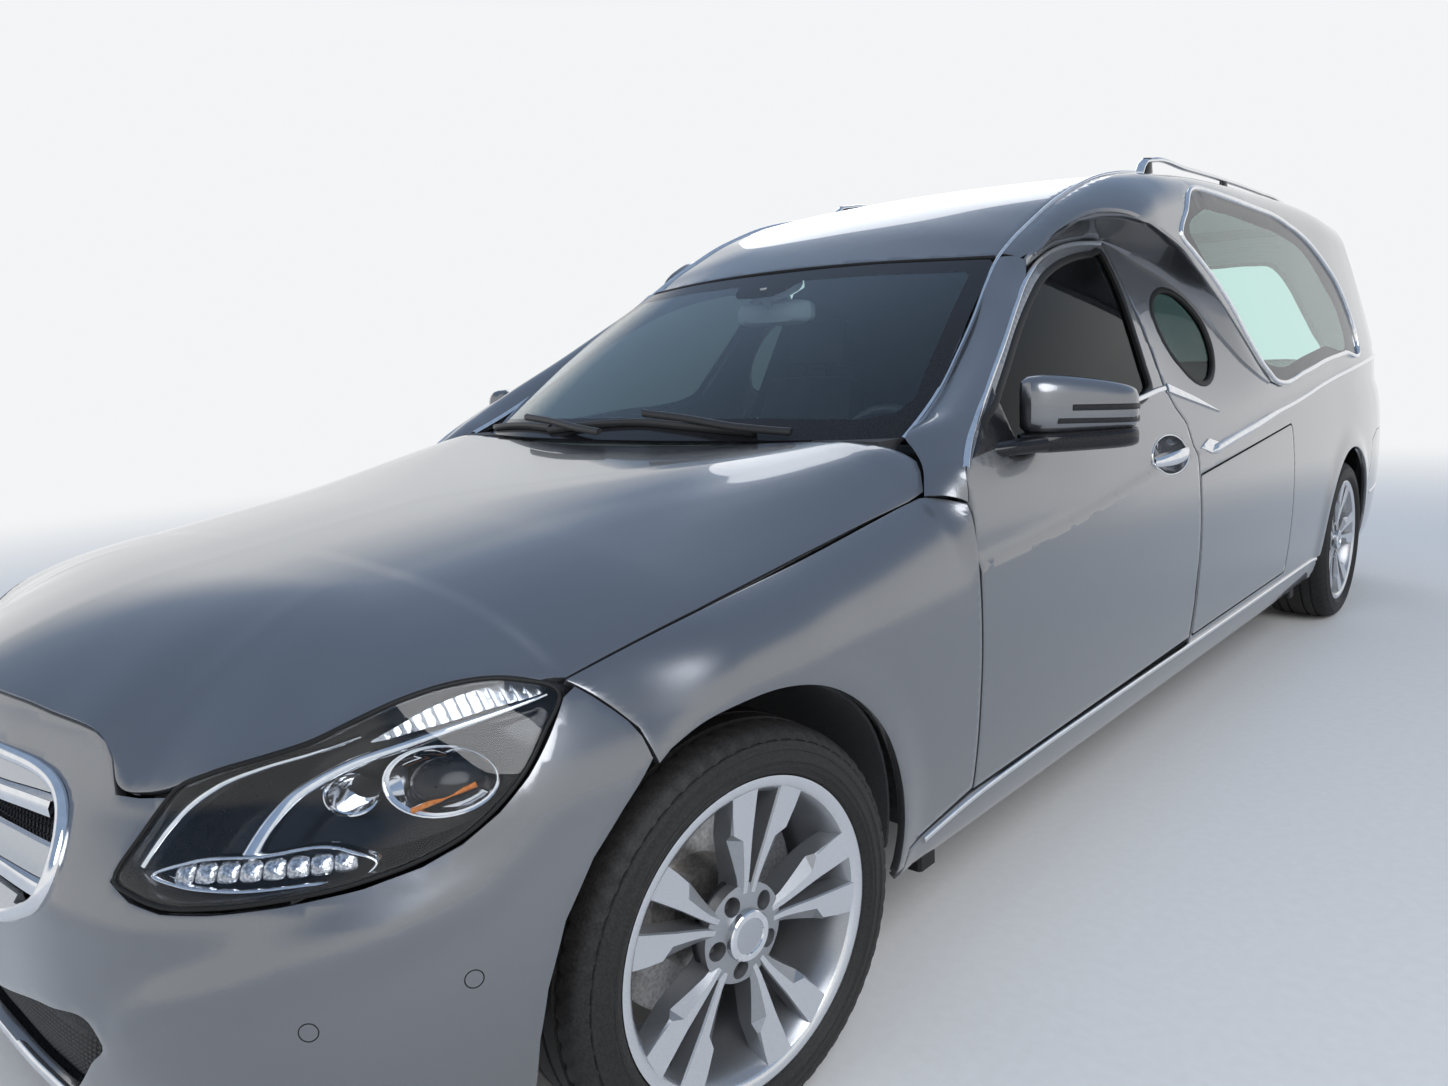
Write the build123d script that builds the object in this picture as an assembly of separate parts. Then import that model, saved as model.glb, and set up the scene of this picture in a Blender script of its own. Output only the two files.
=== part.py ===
from build123d import *
import math
import os

# A long-wheelbase hearse in millimetres.
# +Z is up, the front faces -Y and +X is the car's left side, where the driver sits.
# Stations along the car are measured from the front axle, rearward, and every piece is moved at
# the end so that the origin lies on the ground under the middle of the car's length.

# Driving dimensions
front_overhang = 800
wheelbase = 3790
rear_overhang = 1150
nose_y = -front_overhang
tail_y = wheelbase + rear_overhang
frame_shift = -(nose_y + tail_y) / 2

# Wheels and tyres
tyre_radius = 323.5
tyre_width = 245
rim_seat_radius = 228.6
rim_width = 220
track_half = 795
wheel_z = tyre_radius
hub_bore_radius = 30
running_clearance = 0.05
disc_radius = 165
disc_thickness = 28
spoke_pairs = 5
parked_steer = 6.13
kingpin_x = 700
kingpin_radius = 14

# Walls, gaps and glass
skin = 18
door_wall = 100
upper_wall = 48
moving_gap = 6
seat_gap = 0.3
glass_thickness = 5
screen_thickness = 6
glass_inset = 8

# Body side sizes
belt_z = 1000
floor_z = 210
floor_sheet = 23
firewall_inset = 5
deck_top_z = 742
deck_thickness = 25
sill_top_front = 305
sill_rake = 0.0125
sill_front_y = 420
sill_rear_y = 3390
door_front_y = 655
door_rear_y = 1900
hatch_rear_y = 2905
arch_radius = 384
door_hinge_x = 890
door_hinge_y = 690
door_hinge_heights = (480, 790)
door_edge_x = 922
screen_base_y = 570
screen_run = 700
screen_rise = 412
screen_bow = 0.25
bonnet_hinge_y = 676
bonnet_hinge_z = 988
bonnet_hinge_x = 746
hinge_pin_radius = 5
hinge_boss_radius = 9
bonnet_slope = 0.122
tailgate_top_y = 4300
tailgate_top_z = 1688
tailgate_hinge_y = tailgate_top_y + 3
tailgate_hinge_z = tailgate_top_z + 4
tailgate_hinge_x = 380
roof_edge_x = 600
cab_lean = 0.53
load_lean = 0.255
cab_shoulder = (885, 950)
load_shoulder = (885, 1050)

# Outline tables. Each row is (first coordinate, second coordinate, corner radius).
# Lower body seen from the side: y, z, radius
lower_side = [
    (-742, 190, 20), (nose_y, 330, 60), (nose_y, 560, 120), (-757, 770, 60),
    (-655, 852, 130), (-300, 905, 600), (560, 1000, 0), (700, belt_z, 0),
    (4725, belt_z + 40, 20), (4862, 930, 60), (4880, 660, 15), (tail_y, 620, 30),
    (tail_y, 360, 60), (4830, 225, 30), (4300, 190, 0),
]
# Lower body seen from above, one half: x, y, radius
lower_plan = [
    (0, nose_y, 0), (430, -775, 420), (735, -600, 420), (880, -300, 420), (927, 250, 900),
    (927, 4050, 1500), (898, 4520, 500), (835, 4800, 200), (600, 4905, 400), (0, tail_y, 0),
]
# Lower body seen from the front, one half: x, z, radius
lower_section = [
    (0, 185, 0), (770, 185, 20), (866, 224, 20), (896, 305, 60), (926, 600, 500),
    (914, 800, 300), (cab_shoulder[0], cab_shoulder[1], 60), (858, belt_z, 0), (850, 1060, 0), (0, 1060, 0),
]
# Bonnet and wings seen from the front at the front axle, one half: x, z, radius
bonnet_section = [
    (0, 100, 0), (1000, 100, 0), (1000, 560, 0), (926, 660, 60), (860, 790, 110),
    (690, 868, 400), (330, 915, 900), (0, 922, 0),
]
# Raised load body seen from the side: y, z, radius
load_side = [
    (1262, 1404, 0), (1480, 1520, 500), (1800, 1628, 900), (2400, 1702, 1500), (3200, 1722, 3000),
    (4000, 1708, 1500), (tailgate_top_y, tailgate_top_z, 20), (4655, 1180, 80), (4765, 1030, 20),
    (4740, belt_z - 5, 0), (2760, belt_z - 5, 30), (2600, 1085, 300), (2250, 1360, 400),
    (1990, 1475, 300), (1700, 1520, 300), (1500, 1440, 150), (1400, 1385, 0),
]
# Raised load body seen from the front, one half: x, z, radius
load_section = [
    (0, 900, 0), (905, 900, 0), (load_shoulder[0] + 8, 1000, 60), (744, 1603, 90), (690, 1690, 80),
    (0, 1722, 0),
]
# Door outline seen from the side: y, z, radius
door_outline = [
    (door_front_y, 312, 25), (door_front_y, 945, 15), (1350, 1352, 600), (1700, 1450, 350),
    (1950, 1458, 25), (1945, 1240, 200), (1868, 1050, 100), (1903, 900, 80), (door_rear_y, 330, 40),
]
# Window opening in the door
door_window = [
    (775, 990, 20), (1350, 1316, 500), (1690, 1408, 300), (1912, 1428, 20), (1903, 1240, 200),
    (1830, 1050, 25),
]
# Lower side hatch behind the door
hatch_outline = [
    (door_rear_y + 2 * moving_gap, 336, 30), (door_rear_y + 2 * moving_gap, 803, 20),
    (hatch_rear_y, 873, 20), (hatch_rear_y, 350, 30),
]
# Big side window of the load space
load_window = [
    (2190, 1455, 45), (2430, 1600, 100), (3000, 1604, 1500), (3600, 1548, 700), (3990, 1360, 500),
    (4110, 1190, 100), (4105, 1112, 25), (2850, 1020, 140), (2650, 1090, 150),
]
# Oval window behind the door: centre y, centre z, long half axis, short half axis, turn
oval_window = (2276, 1181, 205, 142, 14)


def corner_points(rows, index):
    """Start, middle and end of the arc that rounds one corner, or the corner alone."""
    count = len(rows)
    before = Vector(rows[index - 1][0], rows[index - 1][1])
    here = Vector(rows[index][0], rows[index][1])
    after = Vector(rows[(index + 1) % count][0], rows[(index + 1) % count][1])
    radius = rows[index][2]
    to_before = (before - here).normalized()
    to_after = (after - here).normalized()
    inside_angle = math.acos(max(-1, min(1, to_before.dot(to_after))))
    if radius <= 0 or inside_angle > math.pi - 0.002:
        return [here]
    reach = radius / math.tan(inside_angle / 2)
    bisector = (to_before + to_after).normalized()
    middle = here + bisector * (radius / math.sin(inside_angle / 2) - radius)
    return [here + to_before * reach, middle, here + to_after * reach]


def outline_face(rows):
    """A flat face whose straight sides are joined by tangent arcs."""
    corners = [corner_points(rows, index) for index in range(len(rows))]
    edges = []
    for index, corner in enumerate(corners):
        following = corners[(index + 1) % len(corners)]
        if len(corner) == 3:
            edges.append(ThreePointArc(corner[0], corner[1], corner[2]))
        if (following[0] - corner[-1]).length > 0.01:
            edges.append(Line(corner[-1], following[0]))
    return make_face(edges)


def inset_rows(rows, inset):
    """The same outline moved inward by an even wall, with its corner radii following."""
    area = 0
    for index, row in enumerate(rows):
        following = rows[(index + 1) % len(rows)]
        area += row[0] * following[1] - following[0] * row[1]
    side = 1 if area > 0 else -1
    moved = []
    for index, row in enumerate(rows):
        before = rows[index - 1]
        after = rows[(index + 1) % len(rows)]
        first = Vector(row[0] - before[0], row[1] - before[1]).normalized()
        second = Vector(after[0] - row[0], after[1] - row[1]).normalized()
        first_normal = Vector(-first.Y, first.X) * side
        second_normal = Vector(-second.Y, second.X) * side
        miter = (first_normal + second_normal) / (1 + first_normal.dot(second_normal))
        turn = (first.X * second.Y - first.Y * second.X) * side
        radius = max(row[2] - inset, 0) if turn > 0 else row[2] + inset * (row[2] > 0)
        moved.append((row[0] + miter.X * inset, row[1] + miter.Y * inset, radius))
    return moved


def mirrored(rows):
    """A full outline from its half, which starts and ends on the middle plane."""
    other = [(-row[0], row[1], row[2]) for row in reversed(rows) if row[0] > 0]
    return rows + other


def side_prism(rows, x_from, x_to):
    """A side outline of y and z, extruded across the car."""
    face = Plane.YZ.offset(x_from) * outline_face(rows)
    return extrude(face, amount=x_to - x_from, dir=(1, 0, 0))


def plan_prism(rows, z_from, z_to):
    """A plan outline of x and y, extruded upward."""
    face = Plane.XY.offset(z_from) * outline_face(rows)
    return extrude(face, amount=z_to - z_from, dir=(0, 0, 1))


def section_prism(rows, y_from, y_to):
    """A cross section of x and z, extruded along the car."""
    face = Plane.XZ.offset(-y_from) * outline_face(rows)
    return extrude(face, amount=y_to - y_from, dir=(0, 1, 0))


def block(x_from, x_to, y_from, y_to, z_from, z_to):
    """A box by its limits."""
    size = Box(x_to - x_from, y_to - y_from, z_to - z_from)
    return Pos((x_from + x_to) / 2, (y_from + y_to) / 2, (z_from + z_to) / 2) * size


def rod(start, end, radius):
    """A round bar between two points."""
    path = Vector(*end) - Vector(*start)
    return extrude(Plane(origin=start, z_dir=path) * Circle(radius), amount=path.length)


def across(x_from, x_to, y, z, radius):
    """A round bar along X."""
    return rod((x_from, y, z), (x_to, y, z), radius)


def other_side(shape):
    return mirror(shape, about=Plane.YZ)


def solids_of(shape):
    """The solids of a result, without slivers."""
    sliver = 60
    kept = [solid for solid in shape.solids() if solid.volume > sliver]
    return kept[0] if len(kept) == 1 else Compound(children=kept)


def sill_top(y):
    return sill_top_front + (y - sill_front_y) * sill_rake


# Whole forms of the car, each made at any inset so that walls come from the same outlines

def lower_form(inset):
    """Everything below the waist."""
    side = side_prism(inset_rows(lower_side, inset), -1000, 1000)
    plan = plan_prism(inset_rows(mirrored(lower_plan), inset), 0, 1300)
    section = section_prism(inset_rows(mirrored(lower_section), inset), nose_y - 100, tail_y + 100)
    return side & plan & section


def bonnet_form(inset):
    """Everything below the crowned bonnet surface, which slopes down to the front."""
    rows = inset_rows(mirrored(bonnet_section), inset)
    start_y = -1000
    length = 2000
    rows = [(x, z + start_y * bonnet_slope, radius) for x, z, radius in rows]
    face = Plane.XZ.offset(-start_y) * outline_face(rows)
    return extrude(face, amount=length * math.hypot(1, bonnet_slope), dir=(0, 1, bonnet_slope))


def behind_screen(inset):
    """All that lies behind the bowed, sloping windscreen surface."""
    slope_length = math.hypot(screen_run, screen_rise)
    setback = inset * slope_length / screen_rise
    half = 1000
    front = screen_base_y + setback
    edge_y = front + screen_bow * half * half / 1000
    arc = ThreePointArc((half, edge_y), (0, front), (-half, edge_y))
    rest = Polyline((-half, edge_y), (-half, 6000), (half, 6000), (half, edge_y))
    below = 200
    face = Plane.XY * make_face([arc, rest])
    run_below = below * screen_run / screen_rise
    face = Pos(0, -run_below, belt_z - below) * face
    return extrude(face, amount=1.5 * slope_length * 2, dir=(0, screen_run, screen_rise))


def cab_rows():
    """Cross section of the cab above the waist, one half."""
    top_z = 1440
    top_x = cab_shoulder[0] - (top_z - cab_shoulder[1]) * cab_lean
    foot_z = 900
    foot_x = cab_shoulder[0] - (foot_z - cab_shoulder[1]) * cab_lean
    return [(0, foot_z, 0), (foot_x, foot_z, 0), (top_x, top_z, 50), (500, 1490, 200), (0, 1500, 0)]


def cab_form(inset, y_from, y_to):
    """The cab above the waist, behind the windscreen."""
    section = section_prism(inset_rows(mirrored(cab_rows()), inset), y_from, y_to)
    return section & behind_screen(inset)


def load_form(inset):
    """The raised load body with the roof that sweeps forward over the cab."""
    side = side_prism(inset_rows(load_side, inset), -1000, 1000)
    section = section_prism(inset_rows(mirrored(load_section), inset), 1000, tail_y)
    return side & section


def cavity_above_waist():
    """The inside of the load body: a wide space behind the cab and headroom over the front seats."""
    lowered = [(y, z - upper_wall, max(radius - upper_wall, 0)) for y, z, radius in load_side[:6]]
    tail_wall = 55
    back = [
        (tailgate_top_y - tail_wall, tailgate_top_z - upper_wall, 0), (4655 - tail_wall, 1180, 40),
        (4765 - tail_wall, 1030, 0), (4765 - tail_wall, 950, 0),
    ]
    arch_inside = [(2830, 950, 0), (2650, 1125, 250), (2290, 1400, 350), (2010, 1525, 250), (1950, 1600, 0)]
    wide = side_prism(lowered[3:] + back + arch_inside, -1000, 1000)
    wide = wide & section_prism(inset_rows(mirrored(load_section), upper_wall), 1000, tail_y)
    headroom_x = roof_edge_x + 12
    headroom_floor_z = 1462
    headroom_rows = [(1484, 1474, 0)] + lowered[2:4] + [
        (2700, lowered[3][1], 0), (2700, headroom_floor_z, 0), (1484, headroom_floor_z, 0),
    ]
    headroom = side_prism(headroom_rows, -headroom_x, headroom_x) & behind_screen(upper_wall)
    narrow_x = 540
    narrow = block(-narrow_x, narrow_x, 1300, 2700, 1380, headroom_floor_z + 5) & behind_screen(upper_wall)
    return wide + headroom + narrow


def cavity_below_waist():
    """The inside of the car below the waist, between the doors and over the floor."""
    rows = [(0, floor_z, 0)]
    for x, z, radius in lower_section[3:]:
        rows.append((max(x - door_wall, 0), z, radius))
    rows.insert(1, (rows[1][0], floor_z, 0))
    section = section_prism(mirrored(rows), door_front_y - firewall_inset, tail_y)
    plan = plan_prism(inset_rows(mirrored(lower_plan), door_wall), 0, 1300)
    cavity = section & plan
    cowl_depth = 50
    tail_rows = [
        (600, 150, 0), (600, 1060, 0), (4660, 1060, 0), (4770, 920, 0), (4790, 640, 0), (4840, 600, 0),
        (4840, 150, 0),
    ]
    cavity = cavity & side_prism(tail_rows, -1000, 1000)
    low = cavity & block(-1000, 1000, 0, tail_y, 0, belt_z - cowl_depth)
    high = cavity & block(-1000, 1000, 0, tail_y, belt_z - cowl_depth, 1100) & behind_screen(upper_wall)
    return low + high


def arch_cut(axle_y, inner_x, radius):
    """The round opening for a wheel, on the left side."""
    return across(inner_x, 1000, axle_y, wheel_z, radius)


def lean_strip(shoulder, lean, depth_from, depth_to, y_from, y_to):
    """A thin leaning slab that follows a side wall at a depth, for the glass."""
    stretch = math.hypot(1, lean)
    low_z = shoulder[1] - 100
    high_z = shoulder[1] + 700
    rows = []
    for z, depth in ((low_z, depth_from), (high_z, depth_from), (high_z, depth_to), (low_z, depth_to)):
        x = shoulder[0] - (z - shoulder[1]) * lean - depth * stretch
        rows.append((x, z, 0))
    return section_prism(rows, y_from, y_to)


# Body shells

lower_outer = lower_form(0)
waist_cut = block(-1000, 1000, door_front_y, 5200, 0, 1300)
front_cut = block(-1000, 1000, -1200, door_front_y, 0, 1300)
front_outer = (lower_outer & front_cut) & bonnet_form(0)
front_inner = (lower_form(skin) & bonnet_form(skin)) & block(-1000, 1000, -1200, door_front_y + 50, 203, 1300)
front_shell = front_outer - front_inner
cab_inner = cab_form(upper_wall, 500, 2830)
load_inner = cavity_above_waist()
lower_inner = cavity_below_waist()
upper_outer = (cab_form(0, 400, 2760) + load_form(0)) & block(-1000, 1000, 400, 5200, belt_z, 1800)
rear_outer = (lower_outer & waist_cut) + upper_outer
rear_shell = rear_outer - lower_inner - cab_inner - load_inner

# Cutting shapes that several pieces share

bonnet_line = [(-1200, 545), (-691, 665), (-277, 773), (0, 815), (300, 853), (door_front_y, 893)]


def above_bonnet_line(lift):
    rows = [(y, z + lift, 0) for y, z in bonnet_line]
    rows += [(door_front_y, 1300, 0), (-1200, 1300, 0)]
    return side_prism(rows, -1000, 1000)


def bumper_front(gap):
    """All that lies ahead of the joint between bumper and wing."""
    rows = [(-1200, 100, 0), (-188 - gap, 100, 0), (-188 - gap, 648, 0), (-272 - gap, 772, 0), (-272 - gap, 860, 0),
            (-1200, 860, 0)]
    return side_prism(rows, -1000, 1000)


sill_rows = [
    (sill_front_y, 150, 0), (sill_front_y, sill_top(sill_front_y), 0), (sill_rear_y, sill_top(sill_rear_y), 0),
    (sill_rear_y, 150, 0),
]
sill_inner_x = 788
sill_region = side_prism(sill_rows, sill_inner_x, 1000)
headlamp_face = [(446, 668, 12), (815, 774, 10), (812, 700, 40), (720, 608, 60), (560, 566, 60), (477, 578, 20)]
grille_face = [(0, 428, 0), (300, 428, 60), (372, 520, 60), (392, 700, 40), (360, 786, 40), (0, 806, 0)]
intake_face = [(0, 232, 0), (560, 232, 20), (600, 300, 20), (540, 352, 30), (0, 352, 0)]


def grille_cut(grow):
    return section_prism(inset_rows(mirrored(grille_face), -grow), -1000, -560)


def headlamp_cut(grow):
    return section_prism(inset_rows(headlamp_face, -grow), -1000, -200)


def screen_edge(grow):
    """The windscreen's outline seen from the front."""
    rows = [(-720 - grow, belt_z - 2, 0), (720 + grow, belt_z - 2, 0), (598 + grow, 1397 + grow, 40),
            (0, 1413 + grow, 0), (-598 - grow, 1397 + grow, 40)]
    return section_prism(rows, 300, 1700)


hatch_aperture = side_prism(hatch_outline, 600, 1000)
load_opening = side_prism(load_window, 500, 1000)
oval_face = Rot(0, 0, oval_window[4]) * Ellipse(oval_window[2], oval_window[3])
oval_opening = extrude(Plane.YZ.offset(500) * (Pos(oval_window[0], oval_window[1]) * oval_face), amount=500)
tailgate_plane = [
    (tailgate_top_y, 1800, 0), (tailgate_top_y, 1560, 0), (4592, 1042, 0), (5200, 1042, 0),
    (5200, 1800, 0),
]
tailgate_lower_half = 590


def tailgate_region(gap):
    """What opens at the back: full width above the waist, and between the lamps below it."""
    upper = side_prism(inset_rows(tailgate_plane, gap), -1000, 1000)
    lower = block(-tailgate_lower_half + gap, tailgate_lower_half - gap, 4560 + gap, 5200, 640 + gap, 1060)
    return upper + lower


# Pieces. Each function gives one node.

nodes = {}

hood_rear_y = 564
hood_corner = (787, 653)


def behind_hood(gap):
    """All that lies behind the bonnet's bowed rear edge."""
    arc = ThreePointArc((hood_corner[0], hood_corner[1] + gap), (0, hood_rear_y + gap), (-hood_corner[0], hood_corner[1] + gap))
    rest = Polyline((-hood_corner[0], hood_corner[1] + gap), (-1000, 700), (-1000, 1200), (1000, 1200), (1000, 700),
                    (hood_corner[0], hood_corner[1] + gap))
    return extrude(Plane.XY * make_face([arc, rest]), amount=1300, dir=(0, 0, 1))


hood_region = above_bonnet_line(moving_gap / 2)
hood = (front_shell & hood_region) - grille_cut(3) - behind_hood(0)
hood = hood & block(-1000, 1000, -1200, door_front_y - moving_gap, 0, 1300)

# Two arms under the bonnet's rear corners turn on pins in slots of the body beside the windscreen
arm_thickness = 10
arm_slot = 4
arm_from = bonnet_hinge_x - arm_thickness / 2
arm_to = bonnet_hinge_x + arm_thickness / 2
slot_from = arm_from - arm_slot
slot_to = arm_to + arm_slot
slot_floor_z = 880
arm_rows = [
    (548, 868, 0), (605, 868, 20), (652, 900, 20), (bonnet_hinge_y + hinge_boss_radius, bonnet_hinge_z, 0),
    (bonnet_hinge_y - hinge_boss_radius, bonnet_hinge_z + 2, 0), (632, 915, 0), (560, 925, 0), (548, 925, 0),
]
hinge_arm = side_prism(arm_rows, arm_from, arm_to)
arm_behind_hood = hinge_arm & block(arm_from, arm_to, door_front_y - 2 * moving_gap, 800, 0, 1100)
hinge_arm = (hinge_arm & bonnet_form(skin / 2)) + arm_behind_hood
hinge_arm += across(arm_from, arm_to, bonnet_hinge_y, bonnet_hinge_z, hinge_boss_radius)
hinge_arm = hinge_arm - across(700, 800, bonnet_hinge_y, bonnet_hinge_z, hinge_pin_radius + running_clearance)
hood += hinge_arm + other_side(hinge_arm)
nodes["bonnet"] = solids_of(hood)

cowl = (front_shell & above_bonnet_line(0)) & behind_hood(moving_gap)
cowl = cowl & block(-700, 700, 400, door_front_y, 900, belt_z)
cowl_ends = rear_shell & block(-700, 700, door_front_y, 800, 950, belt_z)
door_aperture = side_prism(door_outline, 300, 1000)
cowl_ends = cowl_ends - door_aperture - other_side(door_aperture)
nodes["cowl"] = solids_of(cowl + cowl_ends)

below_hood = front_shell - above_bonnet_line(-moving_gap / 2)
front_arch = arch_cut(0, 470, arch_radius)
both_front_arches = front_arch + other_side(front_arch)
wing = (below_hood - bumper_front(0)) & block(600, 1000, -400, door_front_y, sill_top_front, 1300)
wing = wing - front_arch - sill_region

# The door's front edge swings inside the wing's rear edge, which keeps a thin lip over it
edge_clearance = 5
lip = 2
swing_radius = math.hypot(door_edge_x - door_hinge_x, door_hinge_y - door_front_y - moving_gap) + edge_clearance
edge_swing = rod((door_hinge_x, door_hinge_y, 0), (door_hinge_x, door_hinge_y, 1300), swing_radius) & lower_form(lip)
wing = wing - edge_swing
nodes["wing_left"] = solids_of(wing)
nodes["wing_right"] = solids_of(other_side(wing))

bumper = (below_hood & bumper_front(0)) - grille_cut(0) - both_front_arches
bumper = bumper - headlamp_cut(0) - other_side(headlamp_cut(0))
intake_depth = 40
intake_pocket = section_prism(mirrored(intake_face), -1000, -720)
intake_back = front_outer & section_prism(mirrored(intake_face), -720 - 2, -720 + intake_depth / 2)
bumper = (bumper - intake_pocket) + (intake_back - both_front_arches)
nodes["front_bumper"] = solids_of(bumper)

lamp = (front_outer & headlamp_cut(-seat_gap)) & block(400, 1000, -1000, -180, 0, 1300)
lamp_depth = 90
lamp = (lamp & bumper_front(seat_gap)) - lower_form(lamp_depth) - above_bonnet_line(-moving_gap / 2)
nodes["headlamps"] = solids_of(lamp + other_side(lamp))

grille_depth = 46
grille_frame = (front_outer & grille_cut(-seat_gap)) - lower_form(grille_depth)
grille_hole = section_prism(inset_rows(mirrored(grille_face), 22), -1000, -757)
grille_body = grille_frame - grille_hole
slat_count = 3
slat_height = 46
slat_pitch = 98
slat_first_z = 520
for slat in range(slat_count):
    slat_z = slat_first_z + slat * slat_pitch
    bar = block(-380, 380, -785, -752, slat_z - slat_height / 2, slat_z + slat_height / 2)
    grille_body += bar & (front_outer & grille_cut(-6))
nodes["grille"] = solids_of(grille_body)

# Windscreen, roof and fixed sides

screen_glass = (behind_screen(1) - behind_screen(1 + screen_thickness)) & screen_edge(-seat_gap)
nodes["windscreen"] = solids_of(screen_glass & block(-1000, 1000, 400, 1700, belt_z + seat_gap, 1500))

roof_rows = [
    (1200, 1386, 0), (1330, 1386, 0), (1465, 1466, 0), (tailgate_top_y, 1466, 0), (tailgate_top_y, 1800, 0),
    (1200, 1800, 0),
]
roof_block = side_prism(roof_rows, -roof_edge_x, roof_edge_x)
roof = (rear_shell & roof_block) - screen_edge(0) - tailgate_region(0)

# Tailgate hinges: each has two lugs with a pin on the roof, and a lug of the tailgate between them
lug_half = 15
lug_outer = 30
lug_gap = 1


def hinge_bar(x_from, x_to, radius):
    return across(x_from, x_to, tailgate_hinge_y, tailgate_hinge_z, radius)


for hinge_x in (-tailgate_hinge_x, tailgate_hinge_x):
    middle_from = hinge_x - lug_half - lug_gap
    middle_to = hinge_x + lug_half + lug_gap
    roof = roof - hinge_bar(middle_from, middle_to, hinge_boss_radius + 2)
    for lug_from, lug_to in ((hinge_x - lug_outer, middle_from), (middle_to, hinge_x + lug_outer)):
        roof += hinge_bar(lug_from, lug_to, hinge_boss_radius)
        lug_foot = tailgate_hinge_z - 22
        roof += block(lug_from, lug_to, tailgate_top_y - 25, tailgate_hinge_y, lug_foot, tailgate_hinge_z)
    roof += hinge_bar(hinge_x - lug_outer, hinge_x + lug_outer, hinge_pin_radius)
nodes["roof_panel"] = solids_of(roof)

rear_arch = arch_cut(wheelbase, 640, arch_radius)
jack_pad = 60
jack_pad_z = 182
jack_ys = (560, 3240)
sill = lower_outer & sill_region
for jack_y in jack_ys:
    sill += block(795, 795 + jack_pad, jack_y - jack_pad / 2, jack_y + jack_pad / 2, jack_pad_z, 230)
sill = sill - rear_arch - front_arch
nodes["sills"] = solids_of(sill + other_side(sill))

rear_bumper_rows = [(4150, 100, 0), (4150, 690, 0), (4400, 735, 0), (5200, 735, 0), (5200, 100, 0)]
rear_bumper_region = side_prism(rear_bumper_rows, -1000, 1000)
tail_lamp_region = block(tailgate_lower_half, 1000, 4500, 5200, 780, 1000)
floor_region = block(-sill_inner_x, sill_inner_x, 0, 5200, 0, floor_z + 2)

side = rear_shell & block(300, 1000, 400, 5200, 0, 1800)
side = side - roof_block - screen_edge(0) - tailgate_region(0)
side = side - door_aperture - hatch_aperture
side = side - load_opening - oval_opening
side = side - sill_region - floor_region - rear_bumper_region - tail_lamp_region - rear_arch
side = side - block(0, 700, door_front_y, 800, 950, belt_z)
hinge_post_depth = 90
hinge_post = block(775, 1000, door_front_y - hinge_post_depth, door_front_y, sill_top_front, belt_z)
hinge_post = hinge_post & lower_form(skin + seat_gap) & bonnet_form(skin + seat_gap)
hinge_post = hinge_post - above_bonnet_line(-moving_gap - 4) - sill_region - edge_swing

# Door hinges: arms of the post reach into pockets of the door, where their pins stand
door_arm_half = 10
door_pin_radius = 6
door_pin_half = 22
pocket_half = door_arm_half + 2
door_arm_rows = [
    (4, -9, 0), (-2, 9, 0), (-58, -18, 6), (-62, -26, 0), (-62, -55, 0), (-44, -55, 0), (-44, -33, 4),
]
door_pocket_rows = [(14, -40, 0), (14, 16, 0), (-14, 18, 0), (-72, -10, 0), (-72, -40, 0)]


def at_door_hinge(rows):
    return [(x + door_hinge_x, y + door_hinge_y, radius) for x, y, radius in rows]


door_pockets = []
door_bores = []
for height in door_hinge_heights:
    hinge_post += plan_prism(at_door_hinge(door_arm_rows), height - door_arm_half, height + door_arm_half)
    hinge_post += rod((door_hinge_x, door_hinge_y, height - door_arm_half),
                      (door_hinge_x, door_hinge_y, height + door_arm_half), door_pin_radius + 5)
    hinge_post += rod((door_hinge_x, door_hinge_y, height - door_pin_half),
                      (door_hinge_x, door_hinge_y, height + door_pin_half), door_pin_radius)
    door_pockets.append(plan_prism(at_door_hinge(door_pocket_rows), height - pocket_half, height + pocket_half))
    door_bores.append(rod((door_hinge_x, door_hinge_y, height - door_pin_half - 1),
                          (door_hinge_x, door_hinge_y, height + door_pin_half + 1),
                          door_pin_radius + running_clearance))
side = side + hinge_post
arm_slot_cut = block(slot_from, slot_to, 400, bonnet_hinge_y + hinge_boss_radius + arm_slot, slot_floor_z, 1100)
side = side - arm_slot_cut
side += across(slot_from - 4, slot_to + 4, bonnet_hinge_y, bonnet_hinge_z, hinge_pin_radius)
nodes["side_left"] = solids_of(side)
nodes["side_right"] = solids_of(other_side(side))


# Fixed glass of the load body

def side_glass(opening, shoulder, lean):
    """A pane just inside one side window's opening."""
    return lean_strip(shoulder, lean, glass_inset, glass_inset + glass_thickness, 600, 4700) & opening


oval_pane = side_glass(oval_opening, cab_shoulder, cab_lean)
load_pane = side_glass(load_opening, load_shoulder, load_lean)
panes = oval_pane + load_pane
nodes["load_glass"] = solids_of(panes + other_side(panes))

# Doors with their glass and mirrors

rear_frame_gap = 8
stepped_gap = 16
skin_layer = 30
frame_rows = []
for y, z, radius in door_outline:
    y = y - rear_frame_gap if z > 1045 and y > 1800 else y
    frame_rows.append((y, z, radius))
door_whole = rear_shell & side_prism(inset_rows(frame_rows, moving_gap), 450, 1000)
outer_layer = door_whole - lower_form(skin_layer) - cab_form(skin_layer, 400, 2760)
inner_layer = door_whole & side_prism(inset_rows(frame_rows, stepped_gap), 450, 1000)
door_opening = side_prism(door_window, 400, 1000)
door = (outer_layer + inner_layer) - door_opening - load_form(0)
for cut in door_pockets + door_bores:
    door = door - cut
nodes["door_left"] = solids_of(door)
nodes["door_right"] = solids_of(other_side(door))
door_pane = side_glass(door_opening, cab_shoulder, cab_lean)
nodes["door_glass_left"] = solids_of(door_pane)
nodes["door_glass_right"] = solids_of(other_side(door_pane))

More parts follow.
